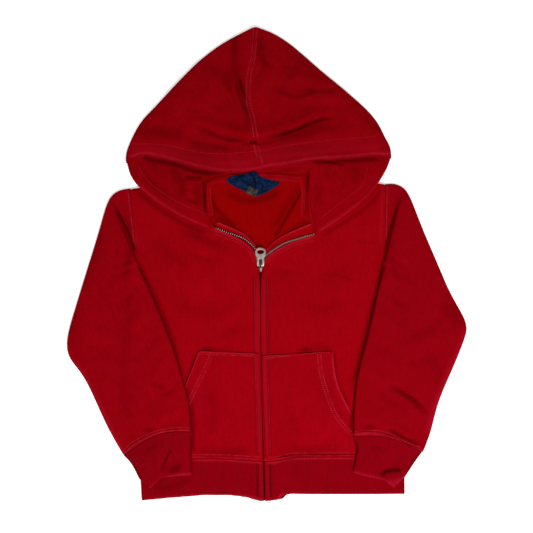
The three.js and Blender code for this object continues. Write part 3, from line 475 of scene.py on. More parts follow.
# Painted shade on the fronts: grooves of the zip topstitching, shade beside the sleeves' folded edges and
# under the hood's rim, along the pocket's top and openings, and broad shade in the creases.
FRONT_PAINTED_SHADE = [
    stroke(1.5, 0.66, *ZIP_STITCH_LEFT, fade=0.03),
    stroke(1.5, 0.66, *ZIP_STITCH_RIGHT, fade=0.03),
    stroke(3.5, 0.6, (-138, -90), (-130, -116), (-122, -146), (-117, -160), fade=0.1),
    stroke(3.4, 0.6, (-182, 6), (-160, -40), (-149, -63), (-137, -92), (-126, -124), fade=0.1),
    stroke(3.4, 0.6, (161.5, 6), (156, -25), (145, -68.5), (135, -110), (125.5, -148), (121, -172),
           fade=0.1),
    stroke(2.6, 0.6, (-96, -119.6), (-86, -119.2), (-72, -120.6), fade=0.4),
    stroke(1.5, 0.55, (-80, -121), (-40, -122), (-12, -123.4), fade=0.05),
    stroke(1.5, 0.55, (-4, -126), (34, -122.6), (62, -118.8), fade=0.05),
    stroke(3.0, 0.75, (54, -119.6), (74, -116.4), (92, -119.6)),
    stroke(2.2, 0.5, (93.5, -124), (95.5, -150), (103, -176), (116, -200), fade=0.1),
    stroke(2.2, 0.5, (-97.5, -124), (-106, -146), (-116, -170), fade=0.1),
    stroke(2.4, 0.22, (83, -12), (104, -17), (128, -28), fade=0.4),
    stroke(7, 0.26, (-124, 55), (-99, 39), (-77, 28), (-49, 17)),
    stroke(4, 0.42, (-203, 128), (-178, 100), (-150, 77), (-122, 60), (-85, 42), fade=0.05),
    stroke(3.4, 0.34, (184, 142), (170, 116), (144, 84), (116, 63), (77, 39), fade=0.05),
    stroke(9, 0.16, (-164, 45), (-133, 11), (-99, -5)),
    stroke(10, 0.14, (-136, -50), (-94, -67), (-38, -59)),
    stroke(10, 0.12, (32, -50), (74, -64), (116, -50)),
    stroke(8, 0.16, (-74, -106), (-40, -92), (-15, -98)),
    stroke(2.2, 0.2, (120, 34), (136, 31), (151, 30), fade=0.4),
    stroke(4, 0.16, (-120, 20), (-90, 8), (-64, 4), fade=0.4),
    stroke(5, 0.14, (8, -16), (22, -12), (40, -14), fade=0.4),
]
for side, front in FRONTS.items():
    front.data.materials.append(FRONT_FLEECE)
    paint_lines(front, "fading", FRONT_WEAR_AND_HIGHLIGHTS[side])
    paint_lines(front, "hollow", FRONT_PAINTED_SHADE)


# Pouch pocket, in two halves of the same fleece. Each is turned in and topstitched along its top, has a
# slanted hand opening with two rows of stitches beside it, and is caught in the zip edge and hem seam.

POCKET_TOP_LEFT = [(-95, -121.6), (-75, -122.3), (-40, -123.8), (-12, -124.6)]
POCKET_TOP_RIGHT = [(-4, -127.6), (34, -124), (73, -119.5), (90, -121)]
POCKET_OPENING_LEFT = [(-95.6, -123), (-104.5, -146.5), (-114.5, -170), (-129, -206)]
POCKET_OPENING_RIGHT = [(92, -123), (94, -151), (101, -175), (111, -196.5), (117, -207)]
HAND_STITCH_LEFT = [(-77.4, -124), (-79.5, -131), (-88, -150), (-97, -168), (-106, -187), (-112, -200)]
HAND_STITCH_RIGHT = [(73, -122), (73.5, -138), (76, -154), (82.3, -176), (94, -207), (106, -224),
                     (118, -237)]
POCKETS = {}
for side in ("left", "right"):
    pocket = sewn_from("pocket_" + side, "pouch_half_" + side)
    lay_creases(pocket, BODY_CREASES + ZIP_PUCKERS)
    close_edges(pocket)
    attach(pocket, "garment")
    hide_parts("pocket_" + side)
    POCKETS[side] = pocket
POCKET_FLEECE = knit_material("pocket_fleece", (0.306, 0.0002, 0.0046), (0.195, 0.0002, 0.0030),
                              (0.42, 0.008, 0.024), mottle=0.6, nap=0.7)
# Paler paint on the pouch: placket strips and stitch rows paler with wear, and painted highlights along its
# top and opening edges.
POCKET_WEAR_AND_HIGHLIGHTS = {
    "left": [
        stroke(3.4, 0.22, *PLACKET_LEFT, fade=0.05),
        stroke(1.4, 0.75, *POCKET_TOP_LEFT, fade=0.05),
        stroke(1.6, 0.8, *POCKET_OPENING_LEFT, fade=0.05),
        stroke(3.2, 0.12, *HAND_STITCH_LEFT, fade=0.05),
    ],
    "right": [
        stroke(3.4, 0.22, *PLACKET_RIGHT, fade=0.05),
        stroke(1.4, 0.75, *POCKET_TOP_RIGHT, fade=0.05),
        stroke(1.6, 0.8, *POCKET_OPENING_RIGHT, fade=0.05),
        stroke(3.2, 0.12, *HAND_STITCH_RIGHT, fade=0.05),
    ],
}
# Painted shade on the pouch: grooves of the zip topstitching, shade beside the sleeves' edges and above the
# hem seam, and broad shade in its creases.
POCKET_PAINTED_SHADE = [
    stroke(1.5, 0.55, *ZIP_STITCH_LEFT, fade=0.02),
    stroke(1.5, 0.55, *ZIP_STITCH_RIGHT, fade=0.02),
    stroke(3, 0.5, (-113, -168), (-107, -190), (-103, -211), (-102.5, -231), (-102.5, -264), fade=0.1),
    stroke(2.6, 0.5, (122, -172), (119, -200), (117.5, -218), (118, -236), fade=0.1),
    stroke(1.6, 0.45, (-100, -270), (-64, -269.5), (-25, -271.5), (-14, -272), fade=0.05),
    stroke(2.0, 0.8, (6, -272.6), (22, -269.4), (46, -267), (90, -267), (124, -266.4), fade=0.04),
    stroke(5, 0.3, (-50, -254), (-38, -259), (-22, -258), fade=0.4),
    stroke(5, 0.14, (26, -210), (40, -226), (44, -246), fade=0.4),
    stroke(9, 0.30, (-96, -259), (-66, -263), (-32, -260), fade=0.2),
    stroke(6, 0.2, (13, -260), (60, -259), (109, -255), fade=0.2),
    stroke(8, 0.14, (-85, -162), (-74, -204), (-80, -246)),
    stroke(9, 0.14, (74, -151), (88, -190), (108, -232)),
    stroke(5, 0.2, (18, -250), (50, -258), (90, -257), fade=0.4),
]
for side, pocket in POCKETS.items():
    pocket.data.materials.append(POCKET_FLEECE)
    paint_lines(pocket, "fading", POCKET_WEAR_AND_HIGHLIGHTS[side])
    paint_lines(pocket, "hollow", POCKET_PAINTED_SHADE)
STITCH = {"long": 2.5, "pitch": 3.1, "thick": 0.62, "level": 0.6, "taper": 0.55, "dip": 0.35}


def thread_material(name, pale_tone):
    """Cotton-wrapped sewing thread in the cloth's red, rubbed paler on top."""
    material, tree = new_material(name, {"Specular IOR Level": 0.05})
    place = put(tree, "TexCoord").outputs["Object"]
    rubbed = put(tree, "TexNoise", Vector=place, Scale=120, Detail=2).outputs["Fac"]
    twist = put(tree, "TexWave", {"bands_direction": "DIAGONAL"}, Vector=place, Scale=420).outputs["Fac"]
    colour = mix_colour(tree, remap(tree, rubbed, 0.35, 0.65), (0.27, 0.002, 0.009, 1), (*pale_tone, 1))
    surface(tree, colour, remap(tree, twist, 0, 1, (0.7, 0.95)), twist, strength=0.6, lift=0.2 * MM)
    return material


RED_THREAD = thread_material("red_thread", (0.45, 0.018, 0.032))


def sheath(piece):
    return BVHTree.FromObject(piece, bpy.context.evaluated_depsgraph_get())


def heights_at(trees, x, y, below=False):
    """Heights in metres where a needle comes down on each cloth at x, y (or up on it from below)."""
    start, way = ((x, y, -1), (0, 0, 1)) if below else ((x, y, 1), (0, 0, -1))
    hits = [tree.ray_cast(Vector(start), Vector(way))[0] for tree in trees]
    return [hit.z for hit in hits if hit is not None]


def one_stitch():
    """One stitch along X: a short round thread, its ends drawn down into the cloth."""
    bpy.ops.object.select_all(action="DESELECT")
    bpy.ops.mesh.primitive_cylinder_add(vertices=6, radius=STITCH["thick"] * MM, depth=STITCH["long"] * MM,
                                        rotation=(0, math.pi / 2, 0))
    stitch = bpy.context.object
    bpy.ops.object.transform_apply(location=True, rotation=True, scale=True)
    bpy.ops.object.mode_set(mode="EDIT")
    for end in (-1, 1):
        bpy.ops.mesh.select_all(action="SELECT")
        bpy.ops.mesh.bisect(plane_co=(end * STITCH["level"] * MM, 0, 0), plane_no=(1, 0, 0))
    bpy.ops.object.mode_set(mode="OBJECT")
    places = points_of(stitch)
    ends = ease(np.abs(places[:, 0]) / MM, STITCH["level"], STITCH["long"] / 2)
    slim = 1 - STITCH["taper"] * ends
    places[:, 1] *= slim
    places[:, 2] = places[:, 2] * slim - STITCH["dip"] * MM * ends
    set_points(stitch, places)
    return stitch


def sideways(line):
    """A step of 1 mm to the left of a line's run, at each of its points."""
    ways = np.gradient(line, axis=0)
    ways /= np.hypot(ways[:, 0], ways[:, 1])[:, None]
    return np.column_stack([-ways[:, 1], ways[:, 0]])


def repeat_along(piece, spots, pitch, length):
    """Repeats a small piece at a pitch along a run of spots, bent to its curve, all in metres."""
    curve = bpy.data.curves.new(piece.name + "_run", "CURVE")
    curve.dimensions = "3D"
    curve.twist_mode = "Z_UP"
    spline = curve.splines.new("POLY")
    spline.points.add(len(spots) - 1)
    for point, spot in zip(spline.points, spots):
        point.co = (*spot, 1)
    run = bpy.data.objects.new(piece.name + "_run", curve)
    bpy.context.scene.collection.objects.link(run)
    apply_modifier(piece, "ARRAY", fit_type="FIT_LENGTH", fit_length=length, use_relative_offset=False,
                   use_constant_offset=True, constant_offset_displace=(pitch, 0, 0))
    apply_modifier(piece, "CURVE", object=run)
    bpy.data.objects.remove(run)


def sewing(name, trees, rows, below=False, sink=0.1, thread=RED_THREAD):
    """Rows of stitches on the cloth, one piece. A row is a path and how far to the left of it it runs."""
    parts = []
    for path, offset in rows:
        line = smooth_line(path)
        spots = []
        for x, y in (line + offset * sideways(line)) * MM:
            heights = heights_at(trees, x, y, below)
            if heights:
                spots.append((x, y, (min(heights) + sink * MM) if below else (max(heights) - sink * MM)))
        if len(spots) < 3:
            continue
        stitches = one_stitch()
        length = sum((Vector(b) - Vector(a)).length for a, b in zip(spots, spots[1:]))
        repeat_along(stitches, spots, STITCH["pitch"] * MM, max(length - 3 * MM, 4 * MM))
        parts.append(stitches)
    only(*parts)
    if len(parts) > 1:
        bpy.ops.object.join()
    sewn = bpy.context.object
    sewn.name = sewn.data.name = name
    bpy.ops.object.shade_smooth()
    sewn.data.materials.append(thread)
    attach(sewn, "garment")


def rows_beside(paths, *offsets):
    """Rows of stitches beside each path, at these offsets in mm."""
    return [(path, offset) for path in paths for offset in offsets]


sewing("pocket_stitches", [sheath(pocket) for pocket in POCKETS.values()],
       rows_beside([POCKET_TOP_LEFT, POCKET_TOP_RIGHT], -3.4)
       + rows_beside([HAND_STITCH_LEFT, HAND_STITCH_RIGHT], 2.2, -2.2))
BODY_SHEATHS = [sheath(piece) for piece in (*FRONTS.values(), *POCKETS.values())]
NECK_EDGE_LEFT = [(-12.3, 4.5), (-18.5, 20.5), (-33.5, 34), (-54.5, 43), (-74.5, 50)]
NECK_EDGE_RIGHT = [(-5.3, 4.5), (1, 12), (15.5, 22.5), (41, 34), (67, 41)]
sewing("zip_edge_stitches", BODY_SHEATHS,
       [(ZIP_STITCH_LEFT, 0), (ZIP_STITCH_RIGHT, 0), (NECK_EDGE_LEFT, 7), (NECK_EDGE_RIGHT, -7)], sink=0.45)


# Hem band. A strip of rib knit, folded double, that runs from one zip edge round the back to the other
# and draws the cloth in a little. Two rows of stitches hold the seam allowance above it.

HEM_SEAM_LEFT = [(-130, -271.4), (-64, -271.4), (-25, -273.6), (-7, -275)]
HEM_SEAM_RIGHT = [(-2, -275), (10.5, -275), (27, -271), (46.5, -269), (124, -268.7)]
HEM_EDGE_LINE = [(-172, -329), (-135.5, -325.4), (-88, -322), (-51.5, -322.4), (-25.5, -324), (-5, -329),
                 (15.5, -328), (25, -320.5), (99, -321.5), (192, -320.6)]
HEM_CREASES = [
    stroke(5, 0.8, (-58, -275), (-56, -322)),
    stroke(8, -0.6, (-94, -276), (-90, -320)),
    stroke(4, 0.7, (-20, -278), (-20, -322)),
    stroke(4, 0.8, (9, -278), (11, -326)),
    stroke(3, -0.8, (22, -274), (26, -318)),
    stroke(8, 0.7, (60, -272), (64, -320)),
    stroke(8, -0.6, (100, -272), (98, -320)),
]
RIB_WALES = 125.0


def rib_material(name, cloth, shade, faded, turn=0.0):
    """Rib knit: the sweatshirt cloth with close ribs along its length."""
    material = knit_material(name, cloth, shade, faded, turn=turn, wale=RIB_WALES, mottle=0.5, nap=0.4,
                             lift=0.5 * MM)
    tree = material.node_tree
    knit = next(node for node in tree.nodes if node.bl_idname == "ShaderNodeGroup")
    bump = next(node for node in tree.nodes if node.bl_idname == "ShaderNodeBump")
    turned = next(node for node in tree.nodes if node.bl_idname == "ShaderNodeMapping")
    ribs = put(tree, "TexWave", {"wave_type": "BANDS", "bands_direction": "X", "wave_profile": "SIN"},
               Vector=turned.outputs[0], Scale=RIB_WALES, Distortion=1.2, Detail=1)
    height = maths(tree, "MULTIPLY_ADD", ribs.outputs["Fac"], 1.3, knit.outputs["Height"])
    tree.links.new(height, bump.inputs["Height"])
    return material


hem = sewn_from("hem_band", "hem_band_rib", denser=False)
HEM_OUTLINE = np.array([(-172.5, -330), (-135.5, -326), (-88, -322.3), (-51.5, -322.3), (-30, -325.5),
                        (-16, -329), (-8, -330.6), (4, -330.2), (14, -328.8), (22.5, -327),
                        (25.5, -324), (28, -320.6), (60, -320.8), (192, -320.8)])
places = points_of(hem) / MM
HEM_SHAPED = (280, 320)
stations = np.arange(-172, 192, 2)
lowest = np.array([places[np.abs(places[:, 0] - x) < 3, 1].min() for x in stations])
let_down = np.interp(stations, *HEM_OUTLINE.T) - lowest
places[:, 1] += np.interp(places[:, 0], stations, let_down) * ease(-places[:, 1], *HEM_SHAPED)
set_points(hem, places * MM)
split_finer(hem)
lay_creases(hem, HEM_CREASES)
close_edges(hem)
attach(hem, "garment")
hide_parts("hem_band")
hem.data.materials.append(rib_material("hem_rib", (0.238, 0.0002, 0.0044), (0.155, 0.0002, 0.0026),
                                       (0.42, 0.008, 0.022)))
# Paler paint on the hem band: its folded edge and zip ends paler with wear, and a painted highlight along
# its top edge below the seam.
paint_lines(hem, "fading", [
    stroke(1.8, 0.6, *HEM_EDGE_LINE, fade=0.02),
    stroke(1.8, 0.75, (-104, -272.6), (-64, -272.6), (-25, -275), (-7, -276.4), fade=0.02),
    stroke(1.8, 0.75, (-2, -276.4), (10.5, -276.4), (27, -272.2), (46.5, -270.2), (124, -270), fade=0.02),
    stroke(3.4, 0.2, (-9.4, -278), (-8, -324), fade=0.03),
    stroke(3.4, 0.2, (1.8, -278), (3, -326), fade=0.03),
])
# Painted shade on the hem band: dark lines beside the zip's lower ends and broad shade at its left end.
paint_lines(hem, "hollow", [
    stroke(1.6, 0.85, (-12.6, -278), (-12.4, -325), fade=0.03),
    stroke(1.6, 0.85, (4.6, -278), (5.2, -325), fade=0.03),
    stroke(5, 0.25, (-172, -300), (-150, -312), (-120, -306), (-102, -296), fade=0.2),
])


def seam_fill(name, path, width, low, high):
    """The seam allowances inside a seam: a narrow strip of the cloth, standing in its gap, sizes in mm."""
    bpy.ops.object.select_all(action="DESELECT")
    line = smooth_line(path)
    bpy.ops.mesh.primitive_grid_add(x_subdivisions=len(line) - 1, y_subdivisions=2, size=1)
    strip = bpy.context.object
    strip.name = strip.data.name = name
    places = points_of(strip)
    steps = np.rint((places[:, 0] + 0.5) * (len(line) - 1)).astype(int)
    places[:, :2] = (line[steps] + places[:, 1:2] * width * sideways(line)[steps]) * MM
    places[:, 2] = low * MM
    set_points(strip, places)
    apply_modifier(strip, "SOLIDIFY", thickness=(high - low) * MM, offset=1)
    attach(strip, "garment")
    return strip


def stand_under(strip, trees, sink):
    """Sets the top of a strip a little below the upper face of the cloth on both sides of its gap."""
    places = points_of(strip)
    for n in np.flatnonzero(places[:, 2] > places[:, 2].mean()):
        tops = [top for aside in (-3 * MM, 0, 3 * MM)
                for top in heights_at(trees, places[n, 0], places[n, 1] + aside)]
        if tops:
            places[n, 2] = max(tops) - sink * MM
    set_points(strip, places)


HEM_GAPS = {
    "left": [(-172, -271.6), (-130, -271.6), (-64, -271.9), (-25, -274.4), (-9, -275.5)],
    "right": [(1, -275.6), (10.5, -275.5), (27, -271.4), (46.5, -269.4), (124, -269.1), (187, -268.8)],
}
HEM_STRIPS = [seam_fill("hem_seam_" + side, gap, width=6, low=0.4, high=3.2)
              for side, gap in HEM_GAPS.items()]
for strip in HEM_STRIPS:
    strip.data.materials.append(FRONT_FLEECE)
    stand_under(strip, [sheath(piece) for piece in (*FRONTS.values(), hem)], sink=1.5)
HEM_SEAM_BACK = [(-172, -270), (0, -271.5), (187, -267.5)]
sewing("hem_stitches", BODY_SHEATHS, rows_beside([HEM_SEAM_LEFT, HEM_SEAM_RIGHT], 2.2, 6.2))
sewing("hem_stitches_back", [sheath(back)], rows_beside([HEM_SEAM_BACK], 2.2, 6.2), below=True, sink=0.5)


# Sleeves. Each is one tube of fleece, set into the armhole and folded down over the fronts, so that its
# upper layer bulges a little over the lower one and gathers in creases under the arm and at the cuff.

SHOULDER_FOLD_LEFT = [(-221, 91), (-215, 81), (-207, 65), (-199, 46), (-189, 23), (-179, 0)]
SHOULDER_FOLD_RIGHT = [(189, 105), (186, 90), (181, 72), (174, 48), (168, 23), (163, 2)]
SLEEVE_CREASES = {
    "left": [
        stroke(16, 3.8, *SHOULDER_FOLD_LEFT, fade=0.25, fade_out=0.02, lap=-1),
        stroke(5, -1.5, (-184, 16), (-200, 2), (-222, -4)),
        stroke(6, 2.0, (-181, -2), (-198, -22), (-224, -34)),
        stroke(6, -1.8, (-178, -18), (-192, -44), (-220, -60)),
        stroke(9, 2.2, (-168, -40), (-176, -74), (-200, -96)),
        stroke(9, -1.9, (-150, -72), (-164, -110), (-196, -136)),
        stroke(9, -1.8, (-262, -108), (-232, -112), (-196, -122)),
        stroke(8, 2.0, (-256, -132), (-222, -138), (-184, -150)),
        stroke(9, 1.8, (-132, -112), (-150, -150), (-178, -176)),
        stroke(7, -1.9, (-120, -160), (-142, -182), (-176, -196)),
        stroke(8, -1.5, (-236, -176), (-206, -178), (-166, -188)),
        stroke(6, 1.9, (-112, -196), (-136, -208), (-170, -214)),
        stroke(6, 1.5, (-214, -216), (-190, -214), (-160, -216)),
        stroke(4.5, -1.6, (-110, -214), (-136, -222), (-168, -230)),
        stroke(5, -1.4, (-206, -236), (-184, -234), (-158, -230)),
    ],
    "right": [
        stroke(16, 3.8, *SHOULDER_FOLD_RIGHT, fade=0.25, fade_out=0.02, lap=1),
        stroke(5, -1.5, (166, 14), (184, 2), (206, 0)),
        stroke(6, 2.0, (163, -4), (182, -22), (208, -30)),
        stroke(7, -1.8, (160, -22), (176, -46), (204, -58)),
        stroke(9, 2.2, (152, -52), (172, -82), (206, -98)),
        stroke(9, -1.9, (142, -92), (166, -116), (200, -130)),
        stroke(9, 1.6, (262, -94), (232, -104), (196, -116)),
        stroke(8, -1.6, (256, -124), (224, -128), (186, -142)),
        stroke(8, 1.8, (132, -134), (156, -156), (188, -166)),
        stroke(4, -2.8, (164, -162), (189, -178), (206, -189), (220, -204), (227, -218)),
        stroke(7, 2.8, (161, -172), (186, -187), (203, -200), (216, -217)),
        stroke(7, -1.5, (126, -178), (150, -192), (182, -206)),
        stroke(5, 3.0, (161, -224), (184, -230), (203, -241), (216, -249)),
        stroke(3.2, -2.2, (158, -231), (175, -234), (192, -241), (207, -249)),
        stroke(6, 1.5, (126, -208), (150, -216), (176, -226)),
        stroke(4.5, -1.6, (128, -226), (152, -230), (178, -238)),
    ],
}
ONE_LAYER = 3.2 * MM
UPPER_SHARE = (0.34, 0.6)


def upper_layer(piece):
    """How much each point belongs to the upper of two layers, from 0 to 1. A lone layer counts as upper."""
    trees = [sheath(piece)]
    places = points_of(piece)
    share = np.ones(len(places))
    for n, (x, y, z) in enumerate(places):
        top, foot = heights_at(trees, x, y), heights_at(trees, x, y, below=True)
        if top and foot and top[0] - foot[0] > ONE_LAYER:
            share[n] = (z - foot[0]) / (top[0] - foot[0])
    return ease(share, *UPPER_SHARE)


def lay_upper_creases(piece, creases):
    """Raises the upper layer of a folded or hollow piece in creases."""
    places = points_of(piece)
    rise = crease_rise(places[:, 0] / MM, places[:, 1] / MM, creases)
    places[:, 2] += upper_layer(piece) * rise * MM
    set_points(piece, places)


SLEEVES = {}
SLEEVE_TURN = {"left": -24, "right": 26}
# Painted shade: the right sleeve's red is set darker than the left's, though both are the same cloth.
SLEEVE_RED_LIT_AND_SHADED = {"left": 0.295, "right": 0.262}
for side in ("left", "right"):
    sleeve = sewn_from("sleeve_" + side, "sleeve_tube_" + side)
    lay_upper_creases(sleeve, SLEEVE_CREASES[side])
    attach(sleeve, "garment")
    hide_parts("sleeve_" + side)
    sleeve.data.materials.append(knit_material(
        "sleeve_fleece_" + side, (SLEEVE_RED_LIT_AND_SHADED[side], 0.0002, 0.0042), (0.175, 0.0002, 0.0026), FLEECE_WEAR_AND_HIGHLIGHT,
        turn=SLEEVE_TURN[side], mottle=0.6, nap=0.7))
    SLEEVES[side] = sleeve
ARMHOLE_LEFT = [(-191.5, 104), (-188.6, 78), (-185.6, 48), (-183.4, 26), (-182, 12)]
ARMHOLE_RIGHT = [(165.6, 110), (165.2, 80), (164.6, 50), (164.4, 28), (164.6, 14)]
CUFF_SEAM_LEFT = [(-198.6, -265.4), (-182, -251), (-163, -240.6), (-146, -235), (-126, -232.2),
                  (-105, -232)]
CUFF_SEAM_RIGHT = [(120.5, -238.2), (134, -236), (154, -236.6), (172, -242), (194, -253.4), (216, -262.2)]
# Paler paint on the sleeves: armhole and cuff seams paler with wear, and a painted sheen along each outer
# fold.
SLEEVE_WEAR_AND_HIGHLIGHTS = {
    "left": [
        stroke(2, 0.25, (-194, 103), (-190.5, 78), (-187.5, 50), (-185, 28), fade=0.05),
        stroke(2.6, 0.45, *CUFF_SEAM_LEFT, fade=0.05),
        stroke(3, 0.3, (-277, -94), (-281, -113), (-276, -129), (-266, -141), (-252, -159), (-235, -193),
               (-218, -229), (-201, -263), fade=0.05),
    ],
    "right": [
        stroke(2, 0.25, (167.6, 110), (167, 80), (166.4, 50), (166.2, 30), fade=0.05),
        stroke(2.6, 0.45, *CUFF_SEAM_RIGHT, fade=0.05),
        stroke(5, 0.3, (279, -89), (276, -103), (262, -137), (248, -168), (235, -199), (227, -238),
               fade=0.05),
    ],
}
# Painted shade on the sleeves: along the shoulder folds and the inner folded edges, on the armhole and cuff
# seams, and in the creases.
SLEEVE_PAINTED_SHADE = {
    "left": [
        stroke(2.6, 0.85, (-219, 91), (-211, 79), (-203, 63), (-194, 46), (-185, 23), (-175, 0)),
        stroke(2.6, 0.75, (-178, -3), (-159, -43), (-143, -81), (-130, -115), (-121, -143), (-114, -167),
               (-108, -189), (-105, -213), (-105, -234), fade=0.02),
        stroke(1.6, 0.6, *ARMHOLE_LEFT, fade=0.05),
        stroke(8, 0.4, (-204, 73), (-192, 45), (-175, 9), (-164, -19)),
        stroke(1.2, 0.6, (-197, -262), (-182, -247), (-162, -238), (-145, -232), (-124, -229), (-106, -230),
               fade=0.02),
        stroke(2.6, 0.45, (-172, -232), (-164, -230), (-154, -231), fade=0.4),
        stroke(2.6, 0.55, (-134, -229), (-127, -230), (-122, -231), fade=0.4),
        stroke(5, 0.25, (-169, -162), (-152, -169), (-133, -176), fade=0.4),
        stroke(4, 0.22, (-161, -179), (-141, -180), (-122, -173), fade=0.4),
        stroke(9, 0.25, (-270, -50), (-274, -85), (-276, -106)),
        stroke(10, 0.22, (-228, 59), (-245, 3), (-262, -47)),
    ],
    "right": [
        stroke(2.4, 0.8, (188, 105), (184, 90), (179, 72), (172, 48), (165, 23), (161, 0), fade=0.35),
        stroke(2.6, 0.75, (163, -3), (151, -47), (140, -98), (129, -138), (123, -169), (120, -207),
               (120, -236), fade=0.02),
        stroke(1.6, 0.5, *ARMHOLE_RIGHT, fade=0.05),
        stroke(6, 0.32, (182, 81), (174, 53), (164, 17), (158, -15)),
        stroke(8, 0.16, (214, -123), (242, -151), (237, -185)),
        stroke(7, 0.16, (147, -179), (181, -196), (203, -213)),
        stroke(1.2, 0.6, (122, -236), (135, -233), (154, -234), (174, -239), (195, -250), (212, -259),
               fade=0.02),
        stroke(2.6, 0.65, (167, -164), (189, -179), (205, -189), (220, -203), (227, -215), fade=0.35),
        stroke(3, 0.5, (130, -225), (143, -226), (157, -227), fade=0.4),
        stroke(3, 0.7, (164, -230), (175, -232), (189, -241), (203, -247), (216, -253), fade=0.25),
        stroke(10, 0.25, (242, -50), (265, -75), (273, -92)),
        stroke(6, 0.16, (184, -109), (228, -92), (259, -67), fade=0.4),
    ],
}
for side, sleeve in SLEEVES.items():
    paint_lines(sleeve, "fading", SLEEVE_WEAR_AND_HIGHLIGHTS[side])
    paint_lines(sleeve, "hollow", SLEEVE_PAINTED_SHADE[side])


def reach_up(strip, trees, from_height):
    """Raises the top of a strip to the underside of the cloth above it."""
    places = points_of(strip)
    for n in np.flatnonzero(places[:, 2] > from_height * MM):
        under = heights_at(trees, places[n, 0], places[n, 1], below=True)
        places[n, 2] = max([places[n, 2]] + [height - 0.1 * MM for height in under])
    set_points(strip, places)


ARMHOLE_GAPS = {
    "left": ([(-190, 104.2), (-187.2, 80), (-184.4, 50), (-182.2, 26), (-180.8, 3)], 5.5),
    "right": ([(164.8, 111), (164.3, 80), (163.6, 50), (163.2, 26), (162.9, 1), (162, -20)], 4.5),
}
for side, (gap, width) in ARMHOLE_GAPS.items():
    strip = seam_fill("armhole_seam_" + side, gap, width, low=0.4, high=4.4)
    strip.data.materials.append(FRONT_FLEECE)
    reach_up(strip, [sheath(SLEEVES[side])], from_height=3)
SLEEVE_SHEATHS = [sheath(sleeve) for sleeve in SLEEVES.values()]
sewing("armhole_stitches", SLEEVE_SHEATHS, rows_beside([
    [(-193.5, 101), (-190, 72), (-187, 46), (-185, 26)],
    [(168, 107), (167, 78), (166.4, 50), (166.4, 30)],
], 0), sink=0.25)
sewing("cuff_seam_stitches", SLEEVE_SHEATHS, rows_beside([CUFF_SEAM_LEFT, CUFF_SEAM_RIGHT], 2.0, 5.6))


# Cuffs. Tubes of rib knit, folded double, that hang from the sleeve seams. The outer corner of each
# droops to a point and its open end gapes a little.

CUFF_CREASES = {
    "left": [
        stroke(4, -1.3, (-145, -262), (-140, -290)),
        stroke(4, 1.0, (-128, -258), (-126, -284)),
        stroke(5, 1.2, (-170, -262), (-164, -292)),
    ],
    "right": [
        stroke(5, 1.2, (150, -252), (152, -284)),
        stroke(4, -1.0, (134, -250), (132, -282)),
        stroke(5, -1.2, (182, -262), (174, -290)),
    ],
}
CUFF_TURN = {"left": -22, "right": 18}
# Paler paint on the cuffs: their folded end edges, paler with wear and painted highlight, and a paler flap
# at the right cuff's open end.
CUFF_WEAR_AND_HIGHLIGHTS = {
    "left": [
        stroke(2.2, 0.7, (-174, -302), (-164, -312), (-144, -299), (-121, -293), (-104, -293), fade=0.02),
    ],
    "right": [
        stroke(2.2, 0.7, (119, -290), (139, -294), (157, -299), (177, -311), (191, -295), fade=0.02),
        stroke(4.5, 0.5, (164, -301), (177, -305), (188, -298), fade=0.2),
    ],
}
# Painted shade on the cuffs: in their creases, at the right cuff's open end and beside the seams and edges.
CUFF_PAINTED_SHADE = {
    "left": [
        stroke(1.6, 0.6, (-131, -255), (-138, -267), (-143, -278), (-145, -290), fade=0.2),
        stroke(5, 0.5, (-138, -290), (-127, -285), (-117, -276)),
        stroke(4, 0.25, (-175, -263), (-161, -255), (-147, -248), fade=0.4),
        stroke(3.5, 0.3, (-192, -274), (-180, -290), (-176, -302), fade=0.2),
        stroke(1.6, 0.6, (-105, -238), (-105, -291), fade=0.05),
    ],
    "right": [
        stroke(3.0, 0.95, (156, -295), (165, -288), (177, -286), (189, -287), fade=0.2),
        stroke(2.4, 0.65, (121, -243), (126, -255), (122, -269), (119, -288), fade=0.05),
        stroke(4, 0.2, (136, -255), (153, -256), (170, -263), fade=0.4),
        stroke(3.5, 0.3, (213, -266), (202, -278), (193, -291), fade=0.2),
    ],
}
CUFFS = {}
for side in ("left", "right"):
    cuff = sewn_from("cuff_" + side, "cuff_rib_" + side)
    lay_upper_creases(cuff, CUFF_CREASES[side])
    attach(cuff, "garment")
    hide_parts("cuff_" + side)
    cuff.data.materials.append(rib_material(
        "cuff_rib_knit_" + side, (0.238, 0.0002, 0.0048), (0.155, 0.0002, 0.0028), (0.40, 0.007, 0.03),
        turn=CUFF_TURN[side]))
    paint_lines(cuff, "fading", CUFF_WEAR_AND_HIGHLIGHTS[side])
    paint_lines(cuff, "hollow", CUFF_PAINTED_SHADE[side])
    CUFFS[side] = cuff


def set_inside(strip, trees):
    """Lifts a strip to halfway between the upper and lower layers of the cloth around it."""
    places = points_of(strip)
    middle = places[:, 2].mean()
    for place in places:
        tops, feet = [], []
        for aside in (-2.5 * MM, 0, 2.5 * MM):
            tops += heights_at(trees, place[0], place[1] + aside)
            feet += heights_at(trees, place[0], place[1] + aside, below=True)
        if tops:
            place[2] += (max(tops) + min(feet)) / 2 - middle
    set_points(strip, places)


CUFF_GAPS = {
    "left": [(-199.2, -266), (-182.1, -253.9), (-169.7, -245), (-157.2, -237.9), (-139.4, -233.1),
             (-121.6, -232.2), (-108, -232.4)],
    "right": [(123, -238.4), (136.6, -237.7), (154.4, -238.4), (166.9, -240.4), (177.5, -243.4),
              (195.3, -250.5), (207.8, -257.1), (216, -261.8)],
}
for side, cuff in CUFFS.items():
    allowance = seam_fill("cuff_seam_" + side, CUFF_GAPS[side], width=4, low=10.2, high=11.0)
    allowance.data.materials.append(FRONT_FLEECE)
    set_inside(allowance, [sheath(SLEEVES[side]), sheath(cuff)])


# Hood. Two sides of fleece joined by a centre seam with a row of stitches on each side of it. The hood is
# spread out flat above the body with its opening towards the viewer. Its front edge is turned in and
# stitched down as a band, and the cloth above the band sags over it in one long fold.

